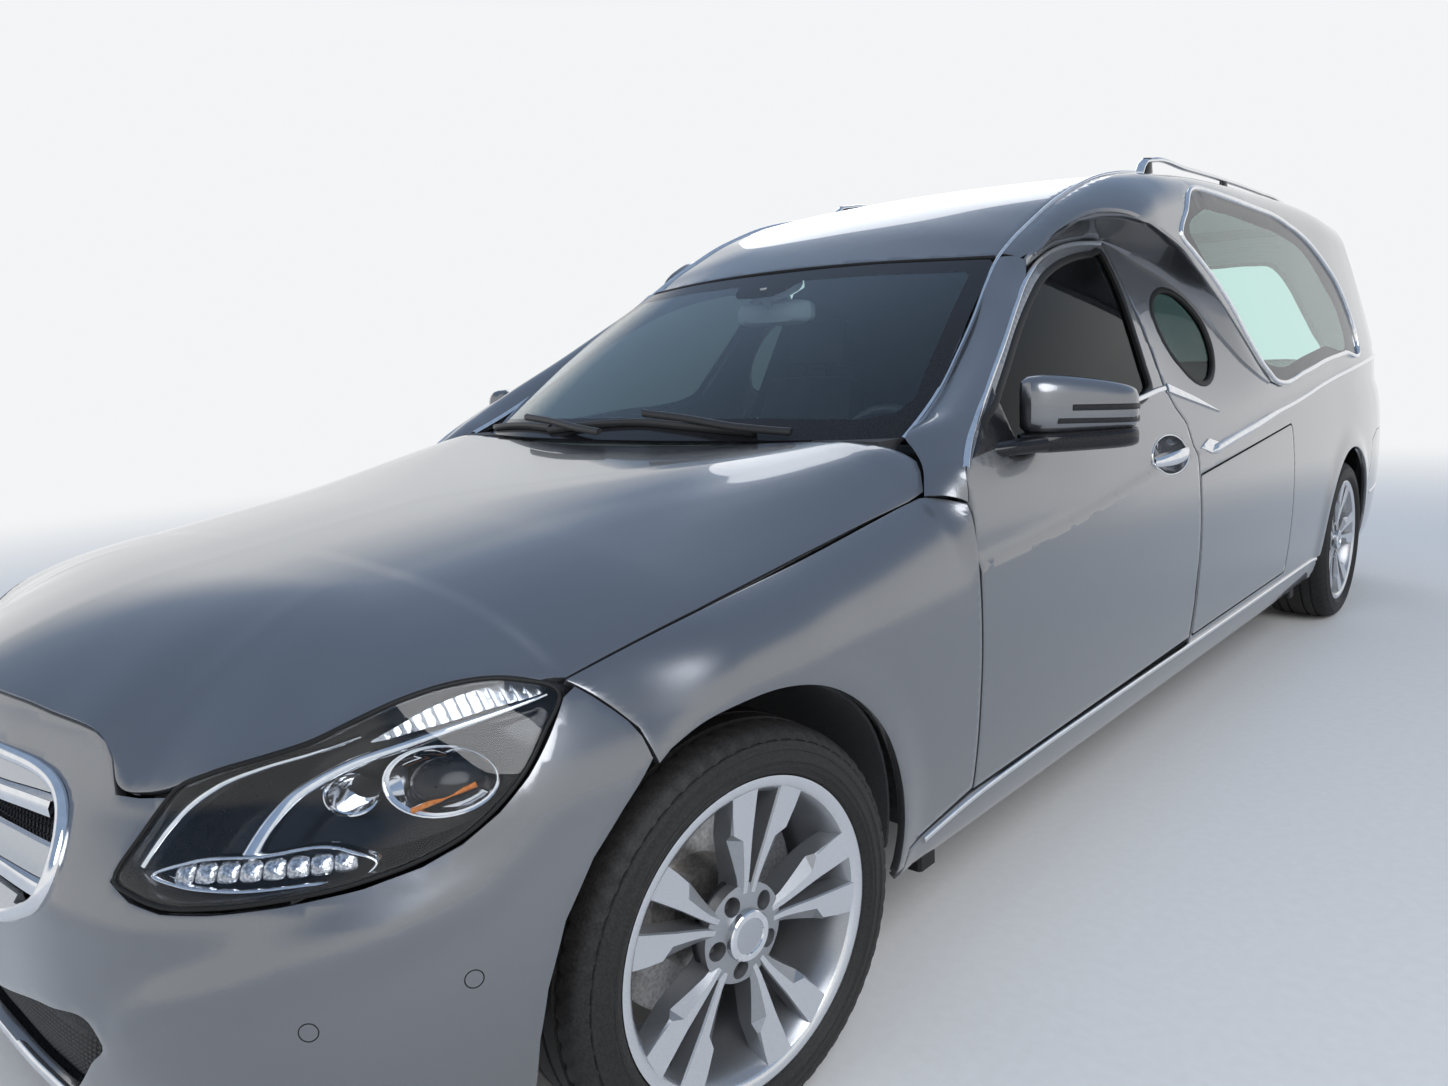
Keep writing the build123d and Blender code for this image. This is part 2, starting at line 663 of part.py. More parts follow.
hatch_whole = rear_shell & side_prism(inset_rows(hatch_outline, moving_gap), 600, 1000)
hatch_outer = hatch_whole - lower_form(skin_layer)
hatch_inner = hatch_whole & side_prism(inset_rows(hatch_outline, stepped_gap), 600, 1000)
hatch = hatch_outer + hatch_inner
nodes["side_hatch_left"] = solids_of(hatch)
nodes["side_hatch_right"] = solids_of(other_side(hatch))

# Tail

tailgate = rear_shell & tailgate_region(moving_gap)
tailgate_window = [(-585, 1120, 60), (585, 1120, 60), (500, 1560, 80), (-500, 1560, 80)]
tailgate_hole = section_prism(tailgate_window, 4200, 5200) - block(-1000, 1000, 4000, 4300, 0, 1800)
tailgate = tailgate - tailgate_hole
for hinge_x in (-tailgate_hinge_x, tailgate_hinge_x):
    tailgate = tailgate - hinge_bar(hinge_x - lug_outer - 2, hinge_x + lug_outer + 2, hinge_boss_radius + 2)
    tailgate += hinge_bar(hinge_x - lug_half, hinge_x + lug_half, hinge_boss_radius)
    tailgate += block(hinge_x - lug_half, hinge_x + lug_half, tailgate_hinge_y, tailgate_hinge_y + 22,
                      tailgate_hinge_z - 30, tailgate_hinge_z - 4)
    tailgate = tailgate - hinge_bar(hinge_x - lug_outer, hinge_x + lug_outer, hinge_pin_radius + running_clearance)
nodes["tailgate"] = solids_of(tailgate)
slope_y = 4655 - tailgate_top_y
slope_z = tailgate_top_z - 1180
slope_length = math.hypot(slope_y, slope_z)
pane_rows = []
for depth, along in ((glass_inset, -200), (glass_inset, 900), (glass_inset + glass_thickness, 900),
                     (glass_inset + glass_thickness, -200)):
    pane_y = tailgate_top_y + along * slope_y / slope_length - depth * slope_z / slope_length
    pane_z = tailgate_top_z - along * slope_z / slope_length - depth * slope_y / slope_length
    pane_rows.append((pane_y, pane_z, 0))
tail_pane = side_prism(pane_rows, -700, 700) & section_prism(tailgate_window, 4200, 5200)
nodes["tailgate_glass"] = solids_of(tail_pane)

tail_lamp_depth = 60
tail_lamp = (lower_outer & tail_lamp_region) - lower_form(tail_lamp_depth)
nodes["tail_lamps"] = solids_of(tail_lamp + other_side(tail_lamp))

rear_bumper = (rear_shell & rear_bumper_region) - tailgate_region(0) - rear_arch - other_side(rear_arch)
rear_bumper = rear_bumper - block(-700, 700, 4100, 4750, 0, 400)
nodes["rear_bumper"] = solids_of(rear_bumper)

# Roof rails: a bar on three feet at each side

rail_x = 580
rail_top_z = 1745
rail_front_y = 2360
rail_rear_y = 3995
rail_width = 34
rail_height = 20
foot_rows = [(2380, 70), (3170, 60), (3975, 70)]
roof_outside = load_form(0)
bar_rows = [
    (rail_front_y, 1690, 0), (rail_front_y + 90, rail_top_z - 6, 150), (3200, rail_top_z, 2500),
    (rail_rear_y - 90, rail_top_z - 22, 150), (rail_rear_y, 1670, 0), (rail_rear_y - 30, 1670, 0),
    (rail_rear_y - 110, rail_top_z - 22 - rail_height, 120), (3200, rail_top_z - rail_height, 2500),
    (rail_front_y + 110, rail_top_z - 6 - rail_height, 120), (rail_front_y + 30, 1690, 0),
]
rail = side_prism(bar_rows, rail_x - rail_width / 2, rail_x + rail_width / 2)
for foot_y, foot_length in foot_rows:
    rail += block(rail_x - rail_width / 2, rail_x + rail_width / 2, foot_y - foot_length / 2,
                  foot_y + foot_length / 2, 1650, rail_top_z - rail_height)
rail = rail - (Pos(0, 0, seat_gap) * roof_outside)
nodes["roof_rails"] = solids_of(rail + other_side(rail))

# Cabin pieces

tunnel_x = 140
tunnel_z = 350
sheet = 20
seat_x = 390
dash_face = [(860, 640, 30), (1120, 640, 60), (1180, 820, 60), (1110, 950, 60), (800, 975, 20), (800, 700, 20)]
dash_half = 714
dash = side_prism(dash_face, -dash_half, dash_half) & lower_inner
console_z = tunnel_z + sheet
dash = dash + block(-110, 110, 840, 1180, console_z, 700) + block(-110, 110, 1160, 1700, console_z, 540)
wheel_tilt = 24
hub_half = 20
column_length = 165
steering_place = Vector(seat_x, 1250, 866)
steering_axis = Vector(0, math.cos(math.radians(wheel_tilt)), math.sin(math.radians(wheel_tilt)))
column_foot = steering_place - steering_axis * column_length
column_head = steering_place - steering_axis * (hub_half + seat_gap)
column = rod(tuple(column_foot), tuple(column_head), 32)
nodes["dashboard"] = solids_of(dash + column)

steering_ring = Torus(178, 16)
steering_hub = Cylinder(60, 2 * hub_half)
steering_spokes = Box(340, 34, 16) + Pos(0, -85, 0) * Box(40, 160, 16)
steering = steering_ring + steering_hub + (steering_spokes & Cylinder(180, 40))
steering = Pos(*steering_place) * (Rot(-(90 - wheel_tilt), 0, 0) * steering)
nodes["steering_wheel"] = solids_of(steering)

seat_width = 440
seat_side = [
    (1290, 300, 30), (1290, 560, 50), (1700, 540, 60), (1880, 1120, 40), (1990, 1110, 40), (1850, 520, 60),
    (1820, 300, 30),
]
headrest_side = [(1905, 1140, 30), (1925, 1290, 40), (2030, 1285, 40), (2010, 1130, 30)]
half_seat = seat_width / 2
seat = side_prism(seat_side, seat_x - half_seat, seat_x + half_seat)
seat += side_prism(headrest_side, seat_x - 130, seat_x + 130)
for post_x in (seat_x - 50, seat_x + 50):
    seat += rod((post_x, 1930, 1080), (post_x, 1962, 1180), 7)
for foot_y in (1340, 1760):
    for foot_x in (seat_x - 180, seat_x + 180):
        seat += block(foot_x - 20, foot_x + 20, foot_y - 30, foot_y + 30, floor_z + floor_sheet + seat_gap, 310)
nodes["seats"] = solids_of(seat + other_side(seat))

partition_y = 2075
partition_thickness = 20
whole_inside = lower_inner + cab_inner + load_inner
partition = whole_inside & block(-1000, 1000, partition_y, partition_y + partition_thickness, floor_z + floor_sheet, 1800)
partition = partition - block(-tunnel_x - sheet, tunnel_x + sheet, 2000, 2200, 0, tunnel_z + sheet)
partition = partition - sill_region - other_side(sill_region)
nodes["partition"] = solids_of(partition)

deck_rear_y = 4540
deck_side_gap = 4
deck = lower_inner & block(-1000, 1000, partition_y + partition_thickness, deck_rear_y,
                           deck_top_z - deck_thickness, deck_top_z)
deck = deck & lower_form(door_wall + deck_side_gap)
for runner_x in (-300, 300):
    deck += block(runner_x - 20, runner_x + 20, partition_y + 60, deck_rear_y - 30, deck_top_z, deck_top_z + 12)
nodes["bier_deck"] = solids_of(deck)

# Underbody

kick_y = 3330
boot_y = 4270
axle_floor_z = 520
boot_floor_z = 380
slab = block(-sill_inner_x, sill_inner_x, door_front_y, kick_y, floor_z, floor_z + floor_sheet)
slab = slab - block(-tunnel_x, tunnel_x, 0, kick_y, 0, 300)
slab += block(-tunnel_x - sheet, tunnel_x + sheet, door_front_y, kick_y, floor_z, tunnel_z + sheet)
slab = slab - block(-tunnel_x, tunnel_x, 0, 5000, 0, tunnel_z)
slab += block(-620, 620, kick_y - sheet, kick_y, floor_z, axle_floor_z)
slab = slab - block(-tunnel_x, tunnel_x, 0, 5000, 0, tunnel_z)
slab += block(-620, 620, kick_y - sheet, boot_y, axle_floor_z - sheet, axle_floor_z)
slab += block(-620, 620, boot_y - sheet, boot_y, boot_floor_z - sheet, axle_floor_z)
slab += block(-620, 620, boot_y - sheet, 4800, boot_floor_z - sheet, boot_floor_z) & (lower_outer - rear_bumper)
firewall_thickness = 15
cowl_low_z = 904
firewall = block(-765, 765, door_front_y - firewall_thickness, door_front_y, floor_z, cowl_low_z)
slab += firewall & bonnet_form(skin + moving_gap)
slab += block(-480, 480, 440, door_front_y, floor_z, floor_z + floor_sheet)
slab = slab - block(-tunnel_x, tunnel_x, 0, 5000, 0, tunnel_z)
leg_outer_x = 455
leg_inner_x = 395
leg = block(leg_inner_x, leg_outer_x, -700, door_front_y, 300, 410)
slab += leg + other_side(leg)
beam_box = block(-600, 600, -790, -700, 300, 410) & lower_form(skin + seat_gap)
slab += beam_box - lower_form(skin + 40)
slab = slab - intake_back - intake_pocket - arm_slot_cut - other_side(arm_slot_cut)
nodes["floor_pan"] = solids_of(slab)

liner_sheet = 6
front_liner = (arch_cut(0, 474, arch_radius) - arch_cut(0, 474, arch_radius - liner_sheet)) & front_inner
front_liner = front_liner & block(474, 1000, -500, door_front_y - 95, 300, 1000)
rear_liner = arch_cut(wheelbase, 640, arch_radius) - arch_cut(wheelbase, 630, arch_radius - liner_sheet)
rear_liner = rear_liner & lower_inner & block(640, 1000, 3000, 4700, 300, 1000)
liners = front_liner + rear_liner
nodes["arch_liners"] = solids_of(liners + other_side(liners))

engine_block = block(-270, 270, -420, 330, 260, 800)
engine_mounts = block(-leg_inner_x + seat_gap, leg_inner_x - seat_gap, -60, 60, 330, 390)
gearbox_rear_y = 1000
gearbox = block(-60, 100, 330, gearbox_rear_y, 232, 340)
nodes["engine"] = solids_of(engine_block + engine_mounts + gearbox)

axle_half_y = 130
shaft_radius = 38
shaft = rod((0, gearbox_rear_y + seat_gap, 288), (0, wheelbase - axle_half_y - seat_gap, 300), shaft_radius)
nodes["prop_shaft"] = solids_of(shaft)

pipe_radius = 25
pipe_points = [
    (-100, 330 + seat_gap, 262), (-100, 3360, 262), (-340, 3640, 205), (-340, 4180, 208), (-340, 4335, 262),
]
pipe_path = FilletPolyline(pipe_points, radius=110)
pipe = sweep(Plane(origin=pipe_points[0], z_dir=(0, 1, 0)) * Circle(pipe_radius), path=pipe_path)
silencer = block(-560, -160, 4330, 4560, 215, 342)
hanger_xs = (-500, -220)
for hanger_x in hanger_xs:
    silencer += block(hanger_x - 20, hanger_x + 20, 4420, 4460, 340, boot_floor_z - sheet - seat_gap)
tail_pipe_x = -470
tail_pipe_radius = 34
tail_pipe = rod((tail_pipe_x, 4550, 285), (tail_pipe_x, 4925, 285), tail_pipe_radius)
nodes["exhaust"] = solids_of(pipe + silencer + tail_pipe)
rear_bumper = rear_bumper - rod((tail_pipe_x, 4600, 285), (tail_pipe_x, 5200, 285), tail_pipe_radius + 10)
nodes["rear_bumper"] = solids_of(rear_bumper)

undertray = block(-380, 380, -700, 440, floor_z, floor_z + 4)
for bracket_y in (-640, 420):
    bracket = block(leg_inner_x - 40, leg_outer_x, bracket_y - 15, bracket_y + 15, floor_z, 300 - seat_gap)
    undertray += bracket + other_side(bracket)
nodes["undertray"] = solids_of(undertray & lower_form(skin + 2))

# Front suspension: a cross member under the legs, and upper and lower arms to the steered knuckles

arm_half = 26
lower_arm_z = 226
lower_arm_top = 256
upper_arm_z = 678
upper_arm_top = 695
plate_outer_x = leg_outer_x + 15
bore_radius = kingpin_radius + running_clearance
subframe = block(-plate_outer_x, plate_outer_x, -45, 45, lower_arm_z, 300 - seat_gap)
half_frame = block(leg_outer_x + seat_gap, plate_outer_x, -35, 35, lower_arm_z, upper_arm_top)
half_frame += block(plate_outer_x - 5, kingpin_x, -arm_half, arm_half, lower_arm_z, lower_arm_top)
half_frame += block(plate_outer_x - 5, kingpin_x, -arm_half, arm_half, upper_arm_z, upper_arm_top)
half_frame += rod((kingpin_x, 0, lower_arm_z), (kingpin_x, 0, lower_arm_top), arm_half)
half_frame += rod((kingpin_x, 0, upper_arm_z), (kingpin_x, 0, upper_arm_top), arm_half)
half_frame = half_frame - rod((kingpin_x, 0, 100), (kingpin_x, 0, 900), bore_radius)
subframe += half_frame + other_side(half_frame)
subframe = subframe - engine_block
nodes["front_subframe"] = solids_of(subframe)

# Wheel parts around their own axle, with +X outward and the wheel's middle plane at zero

disc_inner = -55
disc_outer = disc_inner + disc_thickness
pad_inner = 20
pad_outer = 58
spindle_end = 54
barrel_half = rim_width / 2
tyre_half = tyre_width / 2


def ring_profile(rows):
    """A solid of revolution about X from rows of x, radius and corner radius."""
    face = Plane.XY * outline_face(rows)
    return revolve(face, axis=Axis.X)


tyre_rows = [
    (-112, rim_seat_radius, 0), (-112, 252, 10), (-tyre_half, 285, 60), (-112, 318, 22), (-60, tyre_radius - 1, 80),
    (0, tyre_radius, 900), (60, tyre_radius - 1, 80), (112, 318, 22), (tyre_half, 285, 60), (112, 252, 10),
    (112, rim_seat_radius, 0),
]
barrel_rows = [
    (-112, rim_seat_radius, 0), (112, rim_seat_radius, 0), (112, 214, 8), (70, 205, 20), (-40, 198, 20),
    (-112, 216, 0),
]
disc_rows = [
    (disc_inner, 85, 0), (disc_inner, disc_radius, 0), (disc_outer, disc_radius, 0), (disc_outer, 88, 0),
    (pad_inner, 84, 0), (pad_inner, hub_bore_radius + running_clearance, 0),
    (pad_inner - 12, hub_bore_radius + running_clearance, 0), (pad_inner - 12, 74, 0), (disc_inner, 76, 0),
]
pad_rows = [
    (pad_inner, hub_bore_radius + running_clearance, 0), (pad_inner, 78, 6), (pad_outer, 74, 6),
    (pad_outer, hub_bore_radius + running_clearance, 0),
]


def tyre_solid():
    return ring_profile(tyre_rows)


def rim_solid():
    """Barrel, hub pad and five pairs of spokes that slope out to the rim's outer edge."""
    rim = ring_profile(barrel_rows) + ring_profile(pad_rows)
    spoke_rows = [(pad_inner + 14, 60, 0), (64, 210, 0), (104, 218, 0), (104, 208, 10), (pad_outer + 6, 60, 0)]
    spoke_face = Plane.XZ * outline_face(spoke_rows)
    spoke_width = 26
    pair_spread = 9
    spoke = extrude(spoke_face, amount=spoke_width / 2, both=True)
    lean = 5
    for pair in range(spoke_pairs):
        for side_sign in (-1, 1):
            angle = pair * 360 / spoke_pairs + side_sign * pair_spread
            placed = Pos(0, side_sign * lean, 0) * spoke
            rim += Rot(angle, 0, 0) * placed
    return rim - across(-200, 200, 0, 0, hub_bore_radius + running_clearance)


def disc_solid():
    return ring_profile(disc_rows)


wheel_parts = {"tyre": tyre_solid(), "rim": rim_solid(), "brake_disc": disc_solid()}

# Steered knuckle in the same local frame, with the kingpin at its own X

pin_x = kingpin_x - track_half
carrier_outer = disc_inner - 5


def local_z(height):
    return height - wheel_z


carrier = block(pin_x - 36, carrier_outer, -48, 48, local_z(lower_arm_top + 4), 60)
carrier += across(pin_x - 30, carrier_outer, 0, 0, 62)
carrier += block(pin_x - 75, pin_x - 38, -24, 24, -20, local_z(upper_arm_z - 4))
carrier += block(pin_x - 75, pin_x - 20, -24, 24, -20, 30)
carrier += block(pin_x - 75, pin_x + 18, -24, 24, local_z(upper_arm_z - 18), local_z(upper_arm_z - 4))
carrier += rod((pin_x, 0, local_z(lower_arm_z)), (pin_x, 0, local_z(lower_arm_top + 8)), kingpin_radius)
carrier += rod((pin_x, 0, local_z(upper_arm_z - 10)), (pin_x, 0, local_z(upper_arm_top)), kingpin_radius)
spindle = across(carrier_outer - 10, spindle_end, 0, 0, hub_bore_radius)
caliper_gap = 5
caliper = across(disc_inner - 28, disc_outer + 26, 0, 0, 190) - across(-200, 200, 0, 0, 112)
caliper = caliper & block(-200, 200, 60, 200, -75, 75)
caliper = caliper - across(disc_inner - caliper_gap, disc_outer + caliper_gap, 0, 0, disc_radius + caliper_gap)
bracket = block(disc_inner - 28, carrier_outer, 30, 130, -40, 40)
knuckle_local = carrier + spindle + caliper + bracket


def place_wheel(shape, axle_y, steer):
    """Moves a local wheel shape to the left side, turned about the kingpin."""
    placed = Pos(track_half, 0, wheel_z) * shape
    turned = Pos(kingpin_x, 0, 0) * (Rot(0, 0, steer) * (Pos(-kingpin_x, 0, 0) * placed))
    return Pos(0, axle_y, 0) * turned


def turned_other_side(shape, axle_y, steer):
    """The right side piece, mirrored and then turned the same way as the left one."""
    return other_side(place_wheel(shape, axle_y, -steer))


for part_name, shape in wheel_parts.items():
    nodes["front_left_" + part_name] = solids_of(place_wheel(shape, 0, -parked_steer))
    nodes["front_right_" + part_name] = solids_of(turned_other_side(shape, 0, -parked_steer))
    nodes["rear_left_" + part_name] = solids_of(place_wheel(shape, wheelbase, 0))
    nodes["rear_right_" + part_name] = solids_of(turned_other_side(shape, wheelbase, 0))
nodes["knuckle_left"] = solids_of(place_wheel(knuckle_local, 0, -parked_steer))
nodes["knuckle_right"] = solids_of(turned_other_side(knuckle_local, 0, -parked_steer))

# Rear axle: a fixed differential and beam with hub carriers, arms and mounts to the floor

rear_hub = across(carrier_outer - 60, carrier_outer, 0, 0, 70) + spindle + caliper + bracket
rear_hub += block(carrier_outer - 60, carrier_outer - 10, -50, 130, -50, 50)
rear_half = place_wheel(rear_hub, wheelbase, 0)
rear_half += across(80, track_half + carrier_outer - 50, wheelbase, 300, 42)
arm_front_y = wheelbase - 430
rear_half += block(560, 620, arm_front_y, wheelbase + 40, 262, 330)
rear_half += block(560, 620, arm_front_y, arm_front_y + 60, 262, axle_floor_z - sheet - seat_gap)
rear_half += block(300, 360, wheelbase - 60, wheelbase + 60, 320, axle_floor_z - sheet - seat_gap)
rear_axle = block(-130, 130, wheelbase - axle_half_y, wheelbase + axle_half_y, 240, 400)
rear_axle += rear_half + other_side(rear_half)
nodes["rear_axle"] = solids_of(rear_axle - pipe)

# Door mirrors

mirror_y = 1140
mirror_z = 972
mirror_tip_x = 1040
mirror_head = block(890, mirror_tip_x, mirror_y - 60, mirror_y + 62, mirror_z - 58, mirror_z + 62)
mirror_head = fillet(mirror_head.edges().filter_by(Axis.Y), 26)
mirror_head = fillet(mirror_head.faces().sort_by(Axis.Y)[0].edges(), 34)
mirror_foot = side_prism([(830, 946, 10), (960, 970, 20), (1010, 1020, 20), (850, 1000, 20)], 840, 905)
mirror_arm = block(880, 940, 900, mirror_y, 925, 962) + block(880, 940, 900, 990, 925, 985)
mirror_piece = mirror_head + mirror_foot + mirror_arm
mirror_piece = mirror_piece - (Pos(seat_gap, 0, 0) * rear_outer)
nodes["mirror_left"] = solids_of(mirror_piece)
nodes["mirror_right"] = solids_of(other_side(mirror_piece))

os.makedirs("parts", exist_ok=True)
for name, part in nodes.items():
    placed = Pos(0, frame_shift, 0) * part
    placed.label = name
    export_step(placed, os.path.join("parts", name + ".step"))
    box = placed.bounding_box()
    low = [round(value) for value in (box.min.X, box.min.Y, box.min.Z)]
    high = [round(value) for value in (box.max.X, box.max.Y, box.max.Z)]
    print(name, len(part.solids()), round(part.volume / 1e6, 2), low, high)
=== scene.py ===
import bpy
import math
import numpy as np
from mathutils import Matrix, Vector
from mathutils.geometry import delaunay_2d_cdt


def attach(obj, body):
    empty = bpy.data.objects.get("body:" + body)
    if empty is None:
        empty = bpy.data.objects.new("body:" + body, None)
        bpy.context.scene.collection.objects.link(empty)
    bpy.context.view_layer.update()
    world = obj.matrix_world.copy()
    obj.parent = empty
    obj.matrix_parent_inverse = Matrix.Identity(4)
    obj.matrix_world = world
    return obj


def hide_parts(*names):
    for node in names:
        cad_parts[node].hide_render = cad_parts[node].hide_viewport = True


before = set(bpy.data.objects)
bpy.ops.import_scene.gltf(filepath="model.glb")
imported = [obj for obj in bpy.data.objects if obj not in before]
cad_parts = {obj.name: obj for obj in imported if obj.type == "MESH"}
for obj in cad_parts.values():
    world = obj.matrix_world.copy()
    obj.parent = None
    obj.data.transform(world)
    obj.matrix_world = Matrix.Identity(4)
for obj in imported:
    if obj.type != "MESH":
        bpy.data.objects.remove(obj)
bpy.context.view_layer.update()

# Camera: close to the front left corner at eye height, with a wide lens, as the photograph was taken.
camera_data = bpy.data.cameras.new("camera")
camera = bpy.data.objects.new("camera", camera_data)
bpy.context.scene.collection.objects.link(camera)
bpy.context.scene.camera = camera
camera_yaw = math.radians(41.8401)
camera_pitch = math.radians(-9.806)
camera_roll = math.radians(-2.6918)
look = Vector((-math.sin(camera_yaw) * math.cos(camera_pitch),
               math.cos(camera_yaw) * math.cos(camera_pitch), math.sin(camera_pitch)))
level = look.cross(Vector((0, 0, 1))).normalized()
upright = level.cross(look)
camera_right = level * math.cos(camera_roll) + upright * math.sin(camera_roll)
camera_up = upright * math.cos(camera_roll) - level * math.sin(camera_roll)
turn = Matrix((camera_right, camera_up, -look)).transposed().to_4x4()
camera.matrix_world = Matrix.Translation((1.8527, -3.1768, 1.1711)) @ turn
camera_data.sensor_width = 36
camera_data.lens = 26.12
camera_data.clip_start = 0.05

# Floor: a pale slab that keeps the car's shadow near it and fades to near white further out, for the
# camera, for reflections and through glass alike.
bpy.ops.object.select_all(action="DESELECT")
bpy.ops.mesh.primitive_plane_add(size=60, location=(0, 0, 0))
floor = bpy.context.object
floor.name = "floor"
floor_paint = bpy.data.materials.new("pale_floor")
floor_paint.use_nodes = True
floor_shader = floor_paint.node_tree.nodes["Principled BSDF"]
floor_shader.inputs["Base Color"].default_value = (0.72, 0.71, 0.69, 1)
floor_shader.inputs["Roughness"].default_value = 0.8
floor_nodes = floor_paint.node_tree.nodes
floor_place = floor_nodes.new("ShaderNodeTexCoord")
floor_length = floor_nodes.new("ShaderNodeVectorMath")
floor_length.operation = "LENGTH"
fade_start, fade_end = 3.8, 10.0
floor_fade = floor_nodes.new("ShaderNodeMapRange")
floor_fade.interpolation_type = "SMOOTHSTEP"
floor_fade.inputs["From Min"].default_value = fade_start
floor_fade.inputs["From Max"].default_value = fade_end
floor_ray = floor_nodes.new("ShaderNodeLightPath")
floor_seen = floor_nodes.new("ShaderNodeMath")
floor_seen.operation = "MULTIPLY"
floor_rays = floor_nodes.new("ShaderNodeMath")
floor_rays.use_clamp = True
floor_all_rays = floor_nodes.new("ShaderNodeMath")
floor_all_rays.use_clamp = True
floor_white = floor_nodes.new("ShaderNodeEmission")
floor_white.inputs["Color"].default_value = (0.90, 0.91, 0.92, 1)
floor_mix = floor_nodes.new("ShaderNodeMixShader")
floor_grit = floor_nodes.new("ShaderNodeTexNoise")
floor_grit.inputs["Scale"].default_value = 40.0
floor_grit.inputs["Detail"].default_value = 6.0
floor_ramp = floor_nodes.new("ShaderNodeValToRGB")
floor_ramp.color_ramp.elements[0].color = (0.76, 0.745, 0.72, 1)
floor_ramp.color_ramp.elements[1].color = (0.84, 0.83, 0.81, 1)
for source, target in (
    (floor_place.outputs["Object"], floor_length.inputs[0]),
    (floor_place.outputs["Object"], floor_grit.inputs["Vector"]),
    (floor_grit.outputs["Fac"], floor_ramp.inputs["Fac"]),
    (floor_ramp.outputs["Color"], floor_shader.inputs["Base Color"]),
    (floor_length.outputs["Value"], floor_fade.inputs["Value"]),
    (floor_fade.outputs["Result"], floor_seen.inputs[0]),
    (floor_ray.outputs["Is Camera Ray"], floor_rays.inputs[0]),
    (floor_ray.outputs["Is Glossy Ray"], floor_rays.inputs[1]),
    (floor_rays.outputs[0], floor_all_rays.inputs[0]),
    (floor_ray.outputs["Is Transmission Ray"], floor_all_rays.inputs[1]),
    (floor_all_rays.outputs[0], floor_seen.inputs[1]),
    (floor_seen.outputs[0], floor_mix.inputs["Fac"]),
    (floor_shader.outputs[0], floor_mix.inputs[1]),
    (floor_white.outputs[0], floor_mix.inputs[2]),
    (floor_mix.outputs[0], floor_nodes["Material Output"].inputs["Surface"]),
):
    floor_paint.node_tree.links.new(source, target)
floor.data.materials.append(floor_paint)

# Sky and lamps: a world that is near white to above the picture's top edge and blue grey overhead, and
# three large soft lamps; the fill lamp leaves no mirror image on the bonnet.
world = bpy.data.worlds.new("studio")
bpy.context.scene.world = world
world.use_nodes = True
world_nodes = world.node_tree.nodes
world_links = world.node_tree.links
world_nodes.clear()
sky_place = world_nodes.new("ShaderNodeTexCoord")
sky_height = world_nodes.new("ShaderNodeSeparateXYZ")
sky_ramp = world_nodes.new("ShaderNodeValToRGB")
sky_ramp.color_ramp.elements[0].position = 0.30
sky_ramp.color_ramp.elements[0].color = (0.90, 0.91, 0.92, 1)
sky_ramp.color_ramp.elements[1].position = 0.44
sky_ramp.color_ramp.elements[1].color = (0.27, 0.36, 0.51, 1)
sky_light = world_nodes.new("ShaderNodeBackground")
sky_light.inputs["Strength"].default_value = 1.0
world_out = world_nodes.new("ShaderNodeOutputWorld")
world_links.new(sky_place.outputs["Generated"], sky_height.inputs[0])
world_links.new(sky_height.outputs["Z"], sky_ramp.inputs["Fac"])
world_links.new(sky_ramp.outputs["Color"], sky_light.inputs["Color"])
world_links.new(sky_light.outputs[0], world_out.inputs["Surface"])

for lamp_name, place, aim, size, power in (
    ("key", (7.0, -4.5, 6.5), (0, -0.3, 0.6), 6.5, 500),
    ("fill", (-7.0, -6.5, 5.0), (0, -1.0, 0.6), 9.0, 110),
    ("rear", (-5.5, 8.5, 6.0), (0, 1.0, 0.8), 6.0, 140),
):
    lamp_data = bpy.data.lights.new(lamp_name, "AREA")
    lamp_data.shape = "DISK"
    lamp_data.size = size
    lamp_data.energy = power
    lamp = bpy.data.objects.new(lamp_name, lamp_data)
    lamp.location = place
    lamp.visible_glossy = lamp_name != "fill"
    lamp.rotation_euler = (Vector(aim) - Vector(place)).to_track_quat("-Z", "Y").to_euler()
    bpy.context.scene.collection.objects.link(lamp)
bpy.context.scene.view_settings.view_transform = "Standard"

# Paint: a mid grey metallic base coat with fine flakes under a clear coat, on every pressed panel.


def new_material(name, color, roughness, metallic=0.0):
    material = bpy.data.materials.new(name)
    material.use_nodes = True
    shader = material.node_tree.nodes["Principled BSDF"]
    shader.inputs["Base Color"].default_value = (*color, 1)
    shader.inputs["Roughness"].default_value = roughness
    shader.inputs["Metallic"].default_value = metallic
    return material


def shader_value(material, **values):
    """Sets shader inputs; an underscore stands for the space in an input's name."""
    for name, value in values.items():
        material.node_tree.nodes["Principled BSDF"].inputs[name.replace("_", " ")].default_value = value


def grain(material, scale, dark, light, bump=0.0, bump_distance=0.001, detail=4.0):
    """Fine colour variation and relief from one noise on Object coordinates."""
    nodes = material.node_tree.nodes
    links = material.node_tree.links
    shader = nodes["Principled BSDF"]
    place = nodes.new("ShaderNodeTexCoord")
    noise = nodes.new("ShaderNodeTexNoise")
    noise.inputs["Scale"].default_value = scale
    noise.inputs["Detail"].default_value = detail
    ramp = nodes.new("ShaderNodeValToRGB")
    ramp.color_ramp.elements[0].position = 0.35
    ramp.color_ramp.elements[0].color = (*dark, 1)
    ramp.color_ramp.elements[1].position = 0.65
    ramp.color_ramp.elements[1].color = (*light, 1)
    links.new(place.outputs["Object"], noise.inputs["Vector"])
    links.new(noise.outputs["Fac"], ramp.inputs["Fac"])
    links.new(ramp.outputs["Color"], shader.inputs["Base Color"])
    if bump > 0:
        relief = nodes.new("ShaderNodeBump")
        relief.inputs["Strength"].default_value = bump
        relief.inputs["Distance"].default_value = bump_distance
        links.new(noise.outputs["Fac"], relief.inputs["Height"])
        links.new(relief.outputs["Normal"], shader.inputs["Normal"])
    return noise


